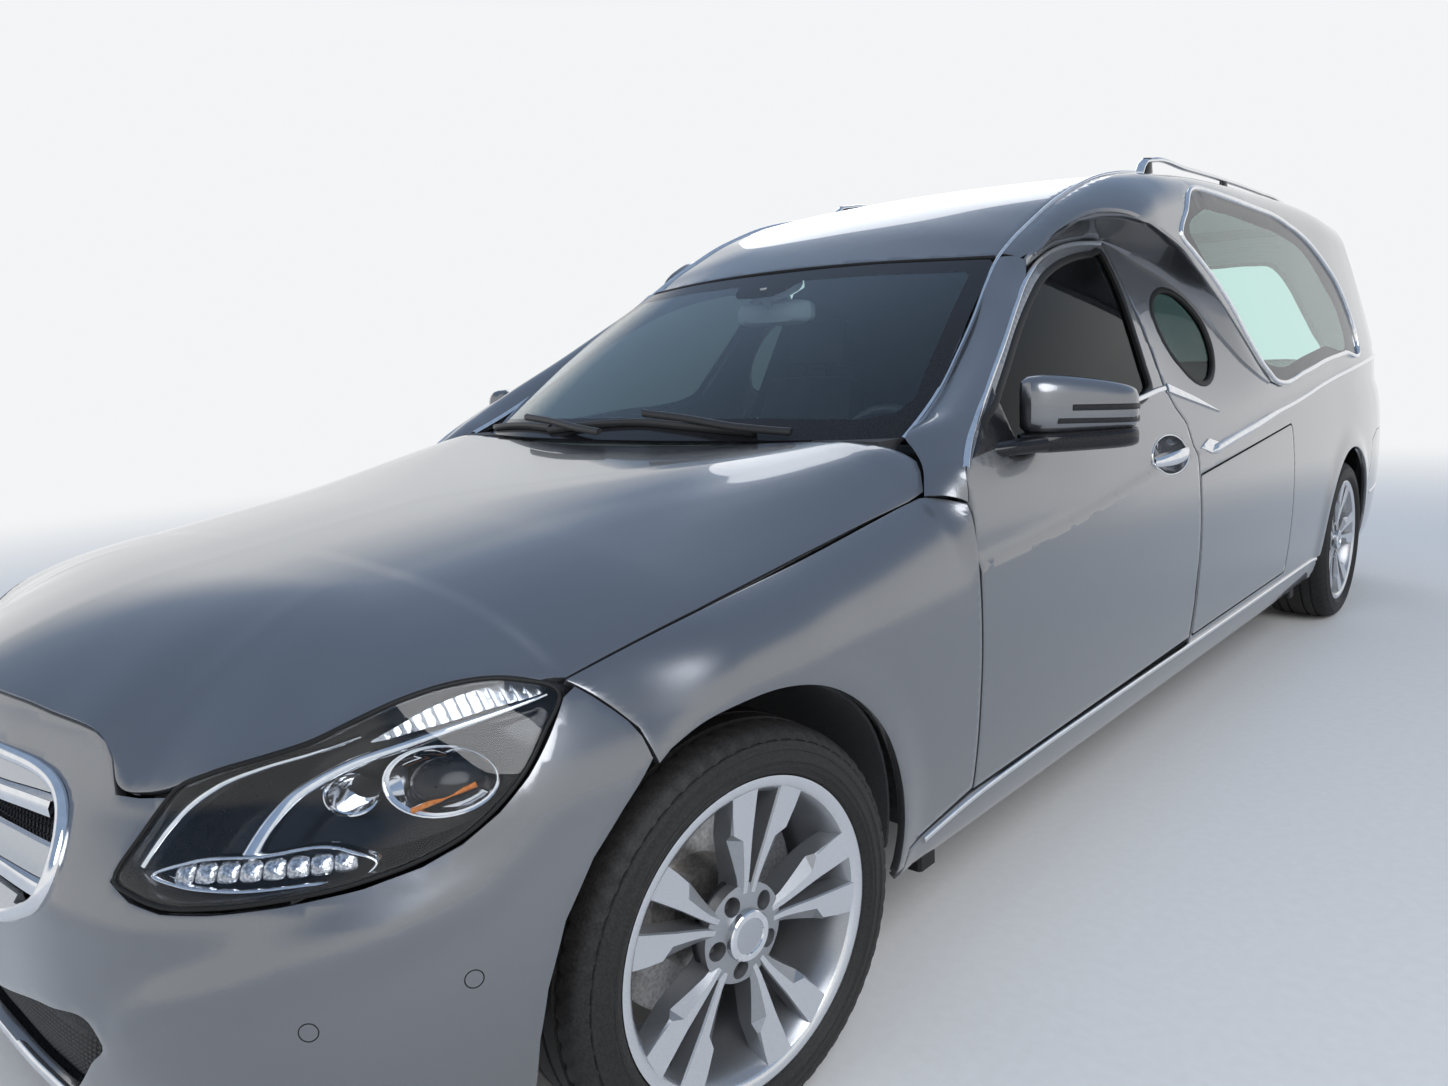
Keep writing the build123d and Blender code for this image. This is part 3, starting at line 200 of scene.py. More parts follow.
paint = new_material("grey_metallic_paint", (0.19, 0.197, 0.21), 0.27, 0.85)
shader_value(paint, Coat_Weight=1.0, Coat_Roughness=0.03)
grain(paint, 2600.0, (0.165, 0.170, 0.182), (0.235, 0.242, 0.255), 0.10, 0.0002, 1.0)

# Body side surface: stations run along the car from the front axle, heights from the ground. One smooth
# surface carries the door, the hatch and the rear side, so that their gaps are all that parts them.
wheelbase = 3.79
wheel_z = 0.3235
widest = 0.927
cab_lean = 0.53
load_lean = 0.255
plan_y = (-0.8, -0.775, -0.72, -0.60, -0.45, -0.30, -0.10, 0.10, 0.30, 0.60, 2.0, 3.6, 4.05, 4.30, 4.52,
          4.68, 4.80, 4.88, 4.94)
plan_x = (0.0, 0.43, 0.60, 0.735, 0.825, 0.880, 0.907, 0.920, 0.926, 0.927, 0.927, 0.927, 0.925, 0.915,
          0.897, 0.872, 0.83, 0.70, 0.30)
side_z = (0.17, 0.20, 0.224, 0.26, 0.305, 0.40, 0.50, 0.60, 0.70, 0.78, 0.84, 0.90, 0.95)
side_w = (0.80, 0.842, 0.868, 0.886, 0.897, 0.911, 0.919, 0.9235, 0.9225, 0.918, 0.912, 0.901, 0.886)
crease_y = (-0.2, 0.10, 0.383, 0.650, 0.915, 1.151, 1.418, 1.570, 1.881, 2.189, 2.723, 3.018, 3.438,
            4.063, 4.6)
crease_z = (0.690, 0.708, 0.729, 0.764, 0.779, 0.799, 0.827, 0.843, 0.861, 0.873, 0.921, 0.942, 0.975,
            1.03, 1.06)


def smooth_line(at, stations, values):
    """A smooth curve through the given points."""
    stations = np.asarray(stations, float)
    values = np.asarray(values, float)
    slopes = np.gradient(values, stations)
    inside = np.clip(at, stations[0], stations[-1])
    index = np.clip(np.searchsorted(stations, inside) - 1, 0, len(stations) - 2)
    width = stations[index + 1] - stations[index]
    q = (inside - stations[index]) / width
    rise = (2 * q**3 - 3 * q**2 + 1) * values[index] + (q**3 - 2 * q**2 + q) * width * slopes[index]
    rise += (3 * q**2 - 2 * q**3) * values[index + 1] + (q**3 - q**2) * width * slopes[index + 1]
    beyond = np.asarray(at, float) - inside
    return rise + beyond * np.where(beyond < 0, slopes[0], slopes[-1])


def half_width(y):
    return smooth_line(y, plan_y, plan_x)


def arch_swell(y, z):
    """The flared lips round both wheel arches."""
    swell = 0
    for center_y in (0.0, wheelbase):
        distance = np.hypot(y - center_y, z - wheel_z)
        swell = swell + 0.010 * np.exp(-(((distance - 0.385) / 0.055) ** 2))
    return swell


def upper_blend(y):
    q = np.clip((y - 1.9) / 0.85, 0, 1)
    return q * q * (3 - 2 * q)


def side_x(y, z):
    """Half width of the body side; the cab's lean blends into the load body's lean along the car."""
    below = half_width(y) - widest + smooth_line(np.minimum(z, 0.95), side_z, side_w)
    crease = smooth_line(y, crease_y, crease_z)
    lift = z - crease
    strength = np.clip((y + 0.1) / 0.5, 0, 1) * np.clip((4.6 - y) / 0.5, 0, 1)
    above = np.maximum(lift, 0)
    below = below - strength * 0.009 * (1 - np.exp(-above / 0.011)) * np.exp(-above / 0.09)
    below = below + strength * 0.002 * np.exp(-above / 0.01) * np.exp(np.minimum(lift, 0) / 0.04)
    cab = below - np.maximum(z - 0.95, 0) * cab_lean
    load_base = below + np.maximum(np.minimum(z, 1.05) - 0.95, 0) * -0.06
    load = load_base - np.maximum(z - 1.05, 0) * load_lean
    share = upper_blend(y)
    return cab * (1 - share) + load * share + arch_swell(y, z)


def side_surface(y, z):
    return np.stack([side_x(y, z), y, z], 1)


crease_along = np.arange(-0.1, 4.7, 0.014)
side_creases = [np.stack([crease_along, smooth_line(crease_along, crease_y, crease_z) + lift], 1)
                for lift in (-0.014, 0.0, 0.009, 0.018, 0.030, 0.044)]

# Front doors: pressed steel skins with a window frame, hung at their front edge, a cup pressed in behind
# each handle.
SIDES = (("left", False), ("right", True))


def bow(near, middle, far, count):
    """Points on a curved line from one point to another, drawn towards a middle one."""
    return [(1 - t) ** 2 * near + 2 * t * (1 - t) * middle + t * t * far
            for t in np.linspace(0, 1, count)]


def through(points, spacing, closed=True):
    """A smooth curve through points of a flat outline, as evenly spaced points."""
    points = np.asarray(points, float)
    if closed:
        points = np.vstack([points[-2:], points, points[:3]])
    steps = np.r_[0, np.cumsum(np.linalg.norm(np.diff(points, axis=0), axis=1))]
    start, end = (steps[2], steps[-3]) if closed else (steps[0], steps[-1])
    count = max(int((end - start) / spacing), 2)
    at = np.linspace(start, end, count + 1)
    if closed:
        at = at[:-1]
    return np.stack([smooth_line(at, steps, points[:, axis]) for axis in range(points.shape[1])], 1)


def rounded(rows, spacing):
    """An outline of straight sides with round corners, from rows of u, v and corner radius."""
    points = []
    for index, (u, v, radius) in enumerate(rows):
        here = np.array((u, v))
        before = np.array(rows[index - 1][:2])
        after = np.array(rows[(index + 1) % len(rows)][:2])
        back = (before - here) / np.linalg.norm(before - here)
        ahead = (after - here) / np.linalg.norm(after - here)
        if radius > 0:
            angle = math.acos(np.clip(back @ ahead, -1, 1))
            reach = radius / math.tan(angle / 2)
            first, last = here + back * reach, here + ahead * reach
            points += bow(first, here, last, 7)
        else:
            points.append(here)
    filled = []
    for index, point in enumerate(points):
        following = points[(index + 1) % len(points)]
        count = max(int(np.linalg.norm(following - point) / spacing), 1)
        for step in range(count):
            filled.append(point + (following - point) * step / count)
    return np.array(filled)


def inside_loop(points, loop):
    """Which points lie inside a closed outline."""
    result = np.zeros(len(points), bool)
    following = np.roll(loop, -1, axis=0)
    for (u1, v1), (u2, v2) in zip(loop, following):
        crosses = (v1 > points[:, 1]) != (v2 > points[:, 1])
        with np.errstate(divide="ignore", invalid="ignore"):
            edge_u = (u2 - u1) * (points[:, 1] - v1) / (v2 - v1) + u1
        result ^= crosses & (points[:, 0] < edge_u)
    return result


def cut_sheet(outline, holes, cell, creases=()):
    """A flat sheet of small triangles with an outline, holes, and edges along its creases."""
    loops = [outline] + list(holes)
    low, high = outline.min(0), outline.max(0)
    rows = int((high[1] - low[1]) / (cell * 0.87)) + 1
    columns = int((high[0] - low[0]) / cell) + 1
    grid = np.array([(low[0] + (i + 0.5 * (j % 2)) * cell, low[1] + j * cell * 0.87)
                     for j in range(rows + 1) for i in range(columns + 1)])
    keep = inside_loop(grid, outline)
    for hole in holes:
        keep &= ~inside_loop(grid, hole)
    grid = grid[keep]
    border = np.vstack([np.vstack([loop + (np.roll(loop, -1, axis=0) - loop) * share
                                   for share in (0, 0.5)]) for loop in loops])
    near = np.zeros(len(grid), bool)
    for start in range(0, len(grid), 2000):
        part = grid[start:start + 2000]
        gap = np.linalg.norm(part[:, None] - border[None], axis=2).min(1)
        near[start:start + 2000] = gap < cell * 0.5
    grid = grid[~near]
    edges = []
    start = 0
    for loop in loops:
        count = len(loop)
        edges += [(start + i, start + (i + 1) % count) for i in range(count)]
        start += count
    rim_count = start
    for crease in creases:
        allowed = inside_loop(crease, outline)
        for hole in holes:
            allowed &= ~inside_loop(crease, hole)
        for begin in range(len(crease)):
            if allowed[begin]:
                allowed[begin] = np.linalg.norm(border - crease[begin], axis=1).min() > cell * 0.3
        places = np.flatnonzero(allowed)
        unbroken = np.flatnonzero(np.diff(places) == 1)
        edges += [(start + int(i), start + int(i) + 1) for i in unbroken]
        kept = crease[allowed]
        start += len(kept)
        loops.append(kept)
        if len(kept):
            grid = grid[np.array([np.linalg.norm(kept - g, axis=1).min() for g in grid]) > cell * 0.45]
    points = np.vstack(loops + [grid])
    found = delaunay_2d_cdt([Vector(p) for p in points], edges, [], 0, 1e-7)
    flat = np.array([tuple(v) for v in found[0]])
    faces = np.array([tuple(f) for f in found[2]])
    corners = flat[faces]
    middles = corners.mean(1)
    keep = inside_loop(middles, outline)
    for hole in holes:
        keep &= ~inside_loop(middles, hole)
    one = corners[:, 1] - corners[:, 0]
    two = corners[:, 2] - corners[:, 0]
    longest = np.maximum(np.maximum(np.linalg.norm(one, axis=1), np.linalg.norm(two, axis=1)),
                         np.linalg.norm(one - two, axis=1))
    height = abs(one[:, 0] * two[:, 1] - one[:, 1] * two[:, 0]) / np.maximum(longest, 1e-9)
    keep &= ~((height < 0.0002) & (faces < rim_count).all(1))
    return flat, faces[keep]


def mesh_piece(name, points, faces):
    mesh = bpy.data.meshes.new(name)
    mesh.from_pydata([tuple(p) for p in points], [], [tuple(int(i) for i in f) for f in faces])
    mesh.update()
    piece = bpy.data.objects.new(name, mesh)
    bpy.context.scene.collection.objects.link(piece)
    return piece


def use_modifiers(piece):
    bpy.ops.object.select_all(action="DESELECT")
    piece.select_set(True)
    bpy.context.view_layer.objects.active = piece
    for modifier in list(piece.modifiers):
        bpy.ops.object.modifier_apply(modifier=modifier.name)
    bpy.ops.object.shade_smooth_by_angle(angle=math.radians(35))
    return piece


# The front axle's place in the shared frame; stations along the car are measured from it.
axle_y = -2.07


def skin_piece(name, points, faces, normal, outward, wall, edge, mirror):
    """A sheet turned to face outward and mirrored where asked, then given its wall and a rolled edge."""
    if (normal @ np.array(outward)) < 0:
        faces = faces[:, ::-1]
    points = points + np.array((0, axle_y, 0))
    if mirror:
        points = points * np.array((-1, 1, 1))
        faces = faces[:, ::-1]
    piece = mesh_piece(name, points, faces)
    if wall > 0:
        thickness = piece.modifiers.new("wall", "SOLIDIFY")
        thickness.thickness = wall
        thickness.offset = -1
    if edge > 0:
        roll = piece.modifiers.new("rolled_edge", "BEVEL")
        roll.width = edge
        roll.segments = 2
        roll.limit_method = "ANGLE"
        roll.angle_limit = math.radians(50)
    return use_modifiers(piece)


def pressing(name, surface, outline, holes, cell, wall, outward, edge=0.0025, mirror=False, creases=()):
    """A pressed panel: a sheet laid on a surface, given its wall inward and a rolled edge."""
    flat, faces = cut_sheet(outline, holes, cell, creases)
    points = surface(flat[:, 0], flat[:, 1])
    first = points[faces[:, 1]] - points[faces[:, 0]]
    second = points[faces[:, 2]] - points[faces[:, 0]]
    return skin_piece(name, points, faces, np.cross(first, second).sum(0), outward, wall, edge, mirror)


def finish_piece(piece, body, nodes, material):
    if material is not None:
        piece.data.materials.append(material)
    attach(piece, body)
    if nodes:
        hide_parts(*nodes)
    return piece


def dense(loop, spacing=0.012):
    """Straight-sided outline with evenly spaced points."""
    return rounded([(u, v, 0) for u, v in loop], spacing)


def ring(center_u, center_v, half_u, half_v, count=40):
    angles = np.linspace(0, 2 * math.pi, count, endpoint=False)
    return np.stack([center_u + half_u * np.cos(angles), center_v + half_v * np.sin(angles)], 1)


def loft(name, rows, wall, outward, mirror=False, edge=0.0, closed=False):
    """A skin of quads through rows of points, given a wall inward."""
    rows = np.asarray(rows, float)
    count, across = rows.shape[:2]
    faces = []
    for i in range(count - 1 + closed):
        for j in range(across - 1):
            a, b = i * across + j, (i + 1) % count * across + j
            faces.append((a, b, b + 1, a + 1))
    points = rows.reshape(-1, 3)
    faces = np.array(faces)
    normal = np.cross(points[faces[:, 2]] - points[faces[:, 0]],
                      points[faces[:, 3]] - points[faces[:, 1]])
    return skin_piece(name, points, faces, normal.sum(0), outward, wall, edge, mirror)


def join(name, pieces):
    bpy.ops.object.select_all(action="DESELECT")
    for piece in pieces:
        piece.select_set(True)
    bpy.context.view_layer.objects.active = pieces[0]
    bpy.ops.object.join()
    pieces[0].name = name
    return pieces[0]


door_loop = [
    (0.658, 0.322), (0.658, 0.60), (0.658, 0.940), (0.700, 0.975), (0.788, 1.033), (0.908, 1.104),
    (1.066, 1.189), (1.205, 1.267), (1.343, 1.339), (1.471, 1.387), (1.615, 1.424), (1.774, 1.446),
    (1.940, 1.456), (1.945, 1.448), (1.940, 1.335), (1.928, 1.237), (1.900, 1.140), (1.860, 1.052),
    (1.866, 0.99), (1.896, 0.94), (1.914, 0.868), (1.916, 0.80), (1.918, 0.694), (1.914, 0.557),
    (1.905, 0.340),
]
door_glass_loop = through([
    (0.80, 1.005), (0.90, 1.063), (1.032, 1.137), (1.162, 1.210), (1.290, 1.275), (1.436, 1.339),
    (1.571, 1.378), (1.710, 1.404), (1.828, 1.417), (1.912, 1.424), (1.916, 1.369), (1.896, 1.292),
    (1.849, 1.195), (1.804, 1.112), (1.765, 1.050), (1.73, 1.038), (1.40, 1.012), (1.10, 0.990),
    (0.83, 0.975),
], 0.012)
handle_ring = ring(1.725, 0.876, 0.126, 0.050)
for side, mirror in SIDES:
    door = pressing("door_skin_" + side, side_surface, dense(door_loop), [door_glass_loop, handle_ring],
                    0.014, 0.030, (1, 0, 0), mirror=mirror, creases=side_creases)
    bowl = []
    for depth, shrink in ((0.0, 1.0), (0.004, 0.97), (0.018, 0.86), (0.028, 0.6), (0.030, 0.02)):
        turn_loop = ring(1.725, 0.876, 0.126 * shrink, 0.050 * shrink)
        bowl.append(side_surface(turn_loop[:, 0], turn_loop[:, 1]) - np.array((depth, 0, 0)))
    bowl = np.concatenate([np.array(bowl), np.array(bowl)[:, :1]], 1)
    cup = loft("handle_cup_" + side, bowl, 0.002, (1, 0, 0), mirror=mirror)
    finish_piece(join("door_skin_" + side, [door, cup]), "door_" + side, ["door_" + side],
                 paint)

# Body sides: one large pressing each from the windscreen pillar to the tail. The outer load body stands
# proud of the cab and is parted from it by a hollow arch that sweeps over the door and down behind the
# oval window.
arch_radius = 0.386
seam_x = 0.60
seam_y = (1.27, 1.368, 1.440, 1.548, 1.662, 1.783, 1.885, 2.1, 2.4, 3.2, 4.0, 4.30)
seam_height = (1.350, 1.399, 1.440, 1.493, 1.545, 1.589, 1.621, 1.662, 1.688, 1.706, 1.695, 1.672)
roll_rise = 0.13
window_frame_loop = [
    (2.429, 1.611), (2.227, 1.543), (2.138, 1.466), (2.214, 1.422), (2.333, 1.354), (2.449, 1.269),
    (2.556, 1.160), (2.649, 1.079), (2.751, 1.030), (2.861, 1.012), (3.128, 1.034), (3.465, 1.067),
    (3.833, 1.089), (4.118, 1.108), (4.124, 1.186), (4.071, 1.281), (3.979, 1.374), (3.844, 1.448),
    (3.681, 1.516), (3.505, 1.560), (3.250, 1.590), (2.974, 1.600), (2.722, 1.608), (2.557, 1.612),
]
cove_outer = [
    (0.664, 1.372, 1.385), (0.668, 1.458, 1.415), (0.676, 1.495, 1.444), (0.693, 1.570, 1.479),
    (0.711, 1.646, 1.503), (0.731, 1.723, 1.511), (0.751, 1.803, 1.507), (0.765, 1.903, 1.489),
    (0.781, 2.009, 1.460), (0.791, 2.106, 1.429), (0.806, 2.242, 1.357), (0.827, 2.377, 1.268),
    (0.852, 2.506, 1.167), (0.872, 2.600, 1.087), (0.883, 2.712, 1.024),
]
cove_inner = [
    (0.668, 1.368, 1.368), (0.652, 1.471, 1.398), (0.633, 1.615, 1.434), (0.622, 1.774, 1.456),
    (0.620, 1.944, 1.460), (0.640, 2.017, 1.445), (0.675, 2.091, 1.416), (0.722, 2.207, 1.358),
    (0.766, 2.296, 1.290), (0.803, 2.351, 1.215), (0.832, 2.410, 1.157), (0.860, 2.489, 1.097),
    (0.880, 2.590, 1.050), (0.884, 2.700, 1.020),
]


def curve(points, spacing):
    """A smooth open curve."""
    return through(points, spacing, closed=False)


def matched(line, count):
    """A line of points resampled to another count."""
    pick = np.linspace(0, len(line) - 1, count)
    return np.stack([np.interp(pick, range(len(line)), line[:, axis]) for axis in range(3)], 1)


def roll_over(share, xs, zs):
    """Both values of a curve with four guiding points at a share of its length."""
    weights = ((1 - share) ** 3, 3 * share * (1 - share) ** 2, 3 * share**2 * (1 - share), share**3)
    return sum(w * p for w, p in zip(weights, xs)), sum(w * p for w, p in zip(weights, zs))


def flank_x(y, z):
    """Half width of the outer load body."""
    below = half_width(y) - widest + smooth_line(np.minimum(z, 0.95), side_z, side_w)
    below = below - 0.01 * (np.clip(z, 0.95, 1.05) - 0.95) - np.maximum(z - 1.05, 0) * load_lean
    return below - 0.124 * (np.maximum(2.0 - y, 0) / 0.542) ** 2


def outer_surface(y, v):
    """The load body's flank, rolling over to the roof seam above the height where the roll starts."""
    start = smooth_line(y, seam_y, seam_height) - roll_rise
    share = np.clip((v - start) / roll_rise, 0, 1)
    flat_z = np.minimum(v, start)
    foot_x = flank_x(y, flat_z)
    xs = (foot_x, foot_x - load_lean * 0.075, seam_x + 0.080, seam_x)
    zs = (flat_z, flat_z + 0.075, start + roll_rise - 0.006, start + roll_rise)
    x, z = roll_over(share, xs, zs)
    return np.stack([np.where(share > 0, x, foot_x), y, np.where(share > 0, z, flat_z)], 1)


def roll_place(y, z):
    """The outline value that puts the outer surface at a height."""
    tries = np.linspace(z - 0.1, z + 0.14, 121)
    heights = outer_surface(np.full(121, y), tries)[:, 2]
    return tries[np.argmin(abs(heights - z))]


def arch_ring(center_y, radius, low, start=0.0, end=180.0, count=30):
    angles = np.radians(np.linspace(start, end, count))
    loop = np.stack([center_y + radius * np.cos(angles), wheel_z + radius * np.sin(angles)], 1)
    loop[:, 1] = np.maximum(loop[:, 1], low)
    return loop


oval_loop = through([
    (2.167, 1.320), (2.234, 1.302), (2.278, 1.265), (2.312, 1.209), (2.311, 1.147), (2.284, 1.098),
    (2.213, 1.050), (2.158, 1.041), (2.091, 1.060), (2.050, 1.101), (2.024, 1.154), (2.025, 1.207),
    (2.046, 1.260), (2.103, 1.304),
], 0.012)
window_hole = through(window_frame_loop, 0.014)
hatch_hole = rounded([(1.925, 0.336, 0.02), (1.925, 0.803, 0.01), (2.905, 0.873, 0.02),
                      (2.905, 0.345, 0.03)], 0.014)
load_foot = [(2.861, 0.998), (3.128, 1.020), (3.465, 1.053), (3.833, 1.075), (4.122, 1.094),
             (4.4, 1.100), (4.688, 1.105)]
inner_outline = [
    (1.921, 0.318), (1.921, 0.557), (1.924, 0.694), (1.922, 0.80), (1.920, 0.868), (1.902, 0.943),
    (1.872, 0.992), (1.867, 1.050), (1.906, 1.138), (1.934, 1.235), (1.946, 1.335), (1.951, 1.456),
    (2.017, 1.441), (2.091, 1.412), (2.207, 1.356), (2.296, 1.289), (2.351, 1.214), (2.410, 1.156),
    (2.489, 1.096), (2.590, 1.048), (2.712, 1.020), *load_foot, (4.745, 1.035), (4.77, 0.98),
    (4.80, 0.95), (4.82, 0.735), (4.78, 0.735), (4.40, 0.735), (4.27, 0.70),
]
pillar_front = [(0.829, 0.607, 0.9035), (0.797, 0.655, 0.955), (0.752, 0.690, 0.988),
                (0.727, 0.706, 1.003), (0.714, 0.788, 1.035), (0.698, 0.895, 1.088),
                (0.673, 1.022, 1.167), (0.650, 1.137, 1.244), (0.627, 1.236, 1.316),
                (0.603, 1.355, 1.392)]
pillar_rear = [(0.8945, 0.6545, 0.8905), (0.894, 0.655, 0.915), (0.888, 0.657, 0.942),
               (0.868, 0.700, 0.978), (0.843, 0.785, 1.037), (0.806, 0.905, 1.108),
               (0.760, 1.063, 1.194), (0.719, 1.202, 1.272), (0.681, 1.340, 1.345),
               (0.664, 1.372, 1.380)]
for side, mirror in SIDES:
    lower_loop = inner_outline + [tuple(p) for p in arch_ring(wheelbase, arch_radius, 0.318, 8, 180)]
    flat_side = pressing("side_inner_" + side, side_surface, dense(lower_loop, 0.014),
                         [oval_loop, hatch_hole], 0.016, 0.02, (1, 0, 0), mirror=mirror,
                         creases=side_creases)
    outer_loop = [(y, roll_place(y, z)) for x, y, z in cove_outer] + load_foot
    outer_loop += [(4.60, 1.24), (4.45, 1.455), (4.30, 1.665)]
    outer_loop += [(y, float(smooth_line(y, seam_y, seam_height)) + 0.001)
                   for y in (4.27, 4.0, 3.6, 3.2, 2.8, 2.4, 2.1, 1.885, 1.783, 1.662, 1.548, 1.440,
                             1.374)]
    load_flank = pressing("side_outer_" + side, outer_surface, dense(outer_loop, 0.014), [window_hole],
                          0.016, 0.02, (1, 0, 0), mirror=mirror)
    outer_line = curve(cove_outer, 0.016)
    inner_line = matched(curve(cove_inner, 0.016), len(outer_line))
    cove_rows = []
    for near, far in zip(inner_line, outer_line):
        hollow = near + (far - near) * np.array((0.25, 0.5, 0.75))
        tucked = near + np.array((-0.016, 0.0, -0.024))
        cove_rows.append([tucked] + bow(near, hollow, far, 7))
    cove = loft("cove_" + side, cove_rows, 0.01, (1, 0, -1), mirror=mirror)
    trim_line = curve(pillar_front, 0.02)
    frame_line = matched(curve(pillar_rear, 0.02), len(trim_line))
    pillar_rows = []
    for near, far in zip(trim_line, frame_line):
        crown = (near + far) / 2 + np.array((0.55, -0.35, 0.75)) * np.linalg.norm(far - near) * 0.22
        pillar_rows.append(bow(near, crown, far, 9))
    pillar = loft("pillar_" + side, pillar_rows, 0.02, (1, -0.5, 1), mirror=mirror)
    finish_piece(join("body_side_" + side, [flat_side, load_flank, cove, pillar]), "body",
                 ["side_" + side], paint)

# Side hatches: plain steel doors to the lockers under the deck, hinged at the front.
hatch_loop = rounded([(1.931, 0.342, 0.02), (1.931, 0.797, 0.01), (2.899, 0.867, 0.02),
                      (2.899, 0.351, 0.03)], 0.014)
for side, mirror in SIDES:
    hatch = pressing("hatch_skin_" + side, side_surface, hatch_loop, [], 0.016, 0.03, (1, 0, 0),
                     mirror=mirror, creases=side_creases)
    finish_piece(hatch, "side_hatch_" + side, ["side_hatch_" + side], paint)

# Wings: steel pressings over the front wheels, with flared lips and a shoulder that rolls in to the
# bonnet.
shut_y = (-0.272, -0.136, -0.018, 0.235, 0.45, 0.56, 0.603, 0.630, 0.652)
shut_x = (0.812, 0.819, 0.825, 0.823, 0.823, 0.825, 0.829, 0.860, 0.893)
shut_z = (0.772, 0.796, 0.815, 0.847, 0.880, 0.897, 0.902, 0.897, 0.888)
nose_lean_z = (0.20, 0.60, 0.648, 0.70)
nose_lean = (0.0, 0.0, 0.004, 0.022)


def wing_surface(y, v):
    share = np.clip((v - 0.70) / 0.30, 0, 1)
    flat_z = np.minimum(v, 0.70)
    foot_x = half_width(y) - widest + smooth_line(flat_z, side_z, side_w) + arch_swell(y, flat_z)
    top_x = smooth_line(y, shut_y, shut_x)
    top_z = smooth_line(y, shut_y, shut_z)
    nose = np.clip((-0.02 - y) / 0.17, 0, 1)
    nose = nose * nose * (3 - 2 * nose)
    foot_x = foot_x - nose * smooth_line(flat_z, nose_lean_z, nose_lean)
    first = 0.004 + nose * ((foot_x - top_x) * 0.30 - 0.004)
    second = 0.62 - nose * 0.02
    rise = 0.50 - nose * 0.16
    fall = 0.13 + nose * 0.16
    xs = (foot_x, foot_x - first, top_x + (foot_x - top_x) * second, top_x)
    zs = (flat_z, flat_z + (top_z - flat_z) * rise, top_z - (top_z - 0.70) * fall, top_z)
    x, z = roll_over(share, xs, zs)
    return np.stack([np.where(share > 0, x, foot_x), y, np.where(share > 0, z, flat_z)], 1)


wing_loop = [(0.652, 0.325), (0.652, 1.0), (0.603, 1.0), (0.45, 1.0), (0.235, 1.0), (-0.018, 1.0),
             (-0.268, 1.0), (-0.19, 0.652)]
wing_loop += [tuple(p) for p in curve([(-0.165, 0.665), (-0.090, 0.688), (-0.02, 0.697), (0.06, 0.694),
                                       (0.150, 0.671), (0.235, 0.622), (0.310, 0.545), (0.362, 0.440),
                                       (0.385, 0.337), (0.388, 0.25)], 0.012)]
wing_loop += [(0.418, 0.25), (0.418, 0.29)]
for side, mirror in SIDES:
    wing = pressing("wing_skin_" + side, wing_surface, dense(wing_loop, 0.012), [], 0.014, 0.016,
                    (1, 0, 0), mirror=mirror)
    finish_piece(wing, "body", ["wing_" + side], paint)

# Sills: painted rails along the foot of the body between the wheel arches.


def with_left(side, node):
    """A node that holds both sides is replaced once, with the left side's piece."""
    return [node] if side == "left" else []


sill_loop = [(0.424, 0.215), (0.424, 0.285), (0.65, 0.314), (1.285, 0.312), (2.02, 0.310), (3.36, 0.314),
             (3.375, 0.30), (3.375, 0.235), (2.07, 0.205), (1.33, 0.195)]
for side, mirror in SIDES:
    sill = pressing("sill_" + side, side_surface, dense(sill_loop, 0.012), [], 0.014, 0.016, (1, 0, 0),
                    mirror=mirror)
    finish_piece(sill, "body", with_left(side, "sills"), paint)

# Front bumper: one painted moulding wrapped round the nose, open for the grille, the lamps and the
# intake.
nose_plan = curve([(0.0, -0.800), (0.22, -0.795), (0.43, -0.772), (0.60, -0.708), (0.735, -0.598),
                   (0.825, -0.450), (0.880, -0.300), (0.9015, -0.19), (0.91, -0.10), (0.915, 0.0)],
                  0.004)
nose_steps = np.r_[0, np.cumsum(np.linalg.norm(np.diff(nose_plan, axis=0), axis=1))]
nose_tangent = np.gradient(nose_plan, axis=0)
nose_tangent /= np.linalg.norm(nose_tangent, axis=1)[:, None]
front_inset_z = (0.17, 0.19, 0.26, 0.33, 0.50, 0.54, 0.58, 0.62, 0.665, 0.72, 0.80, 0.84)
front_inset = (0.07, 0.05, 0.015, 0.0, 0.0, 0.004, 0.020, 0.045, 0.075, 0.092, 0.098, 0.102)
middle_inset = (0.07, 0.05, 0.015, 0.0, 0.0, 0.003, 0.008, 0.018, 0.033, 0.045, 0.056, 0.065)
side_inset_z = (0.17, 0.19, 0.26, 0.33, 0.60, 0.648, 0.70, 0.74, 0.775, 0.84)
side_inset = (0.07, 0.05, 0.015, 0.0, 0.0, 0.004, 0.022, 0.046, 0.074, 0.12)
brow_u = (0.0, 0.499, 0.578, 0.744, 0.864, 0.978, 1.057, 1.25)
brow_z = (0.33, 0.397, 0.443, 0.498, 0.526, 0.559, 0.610, 0.70)


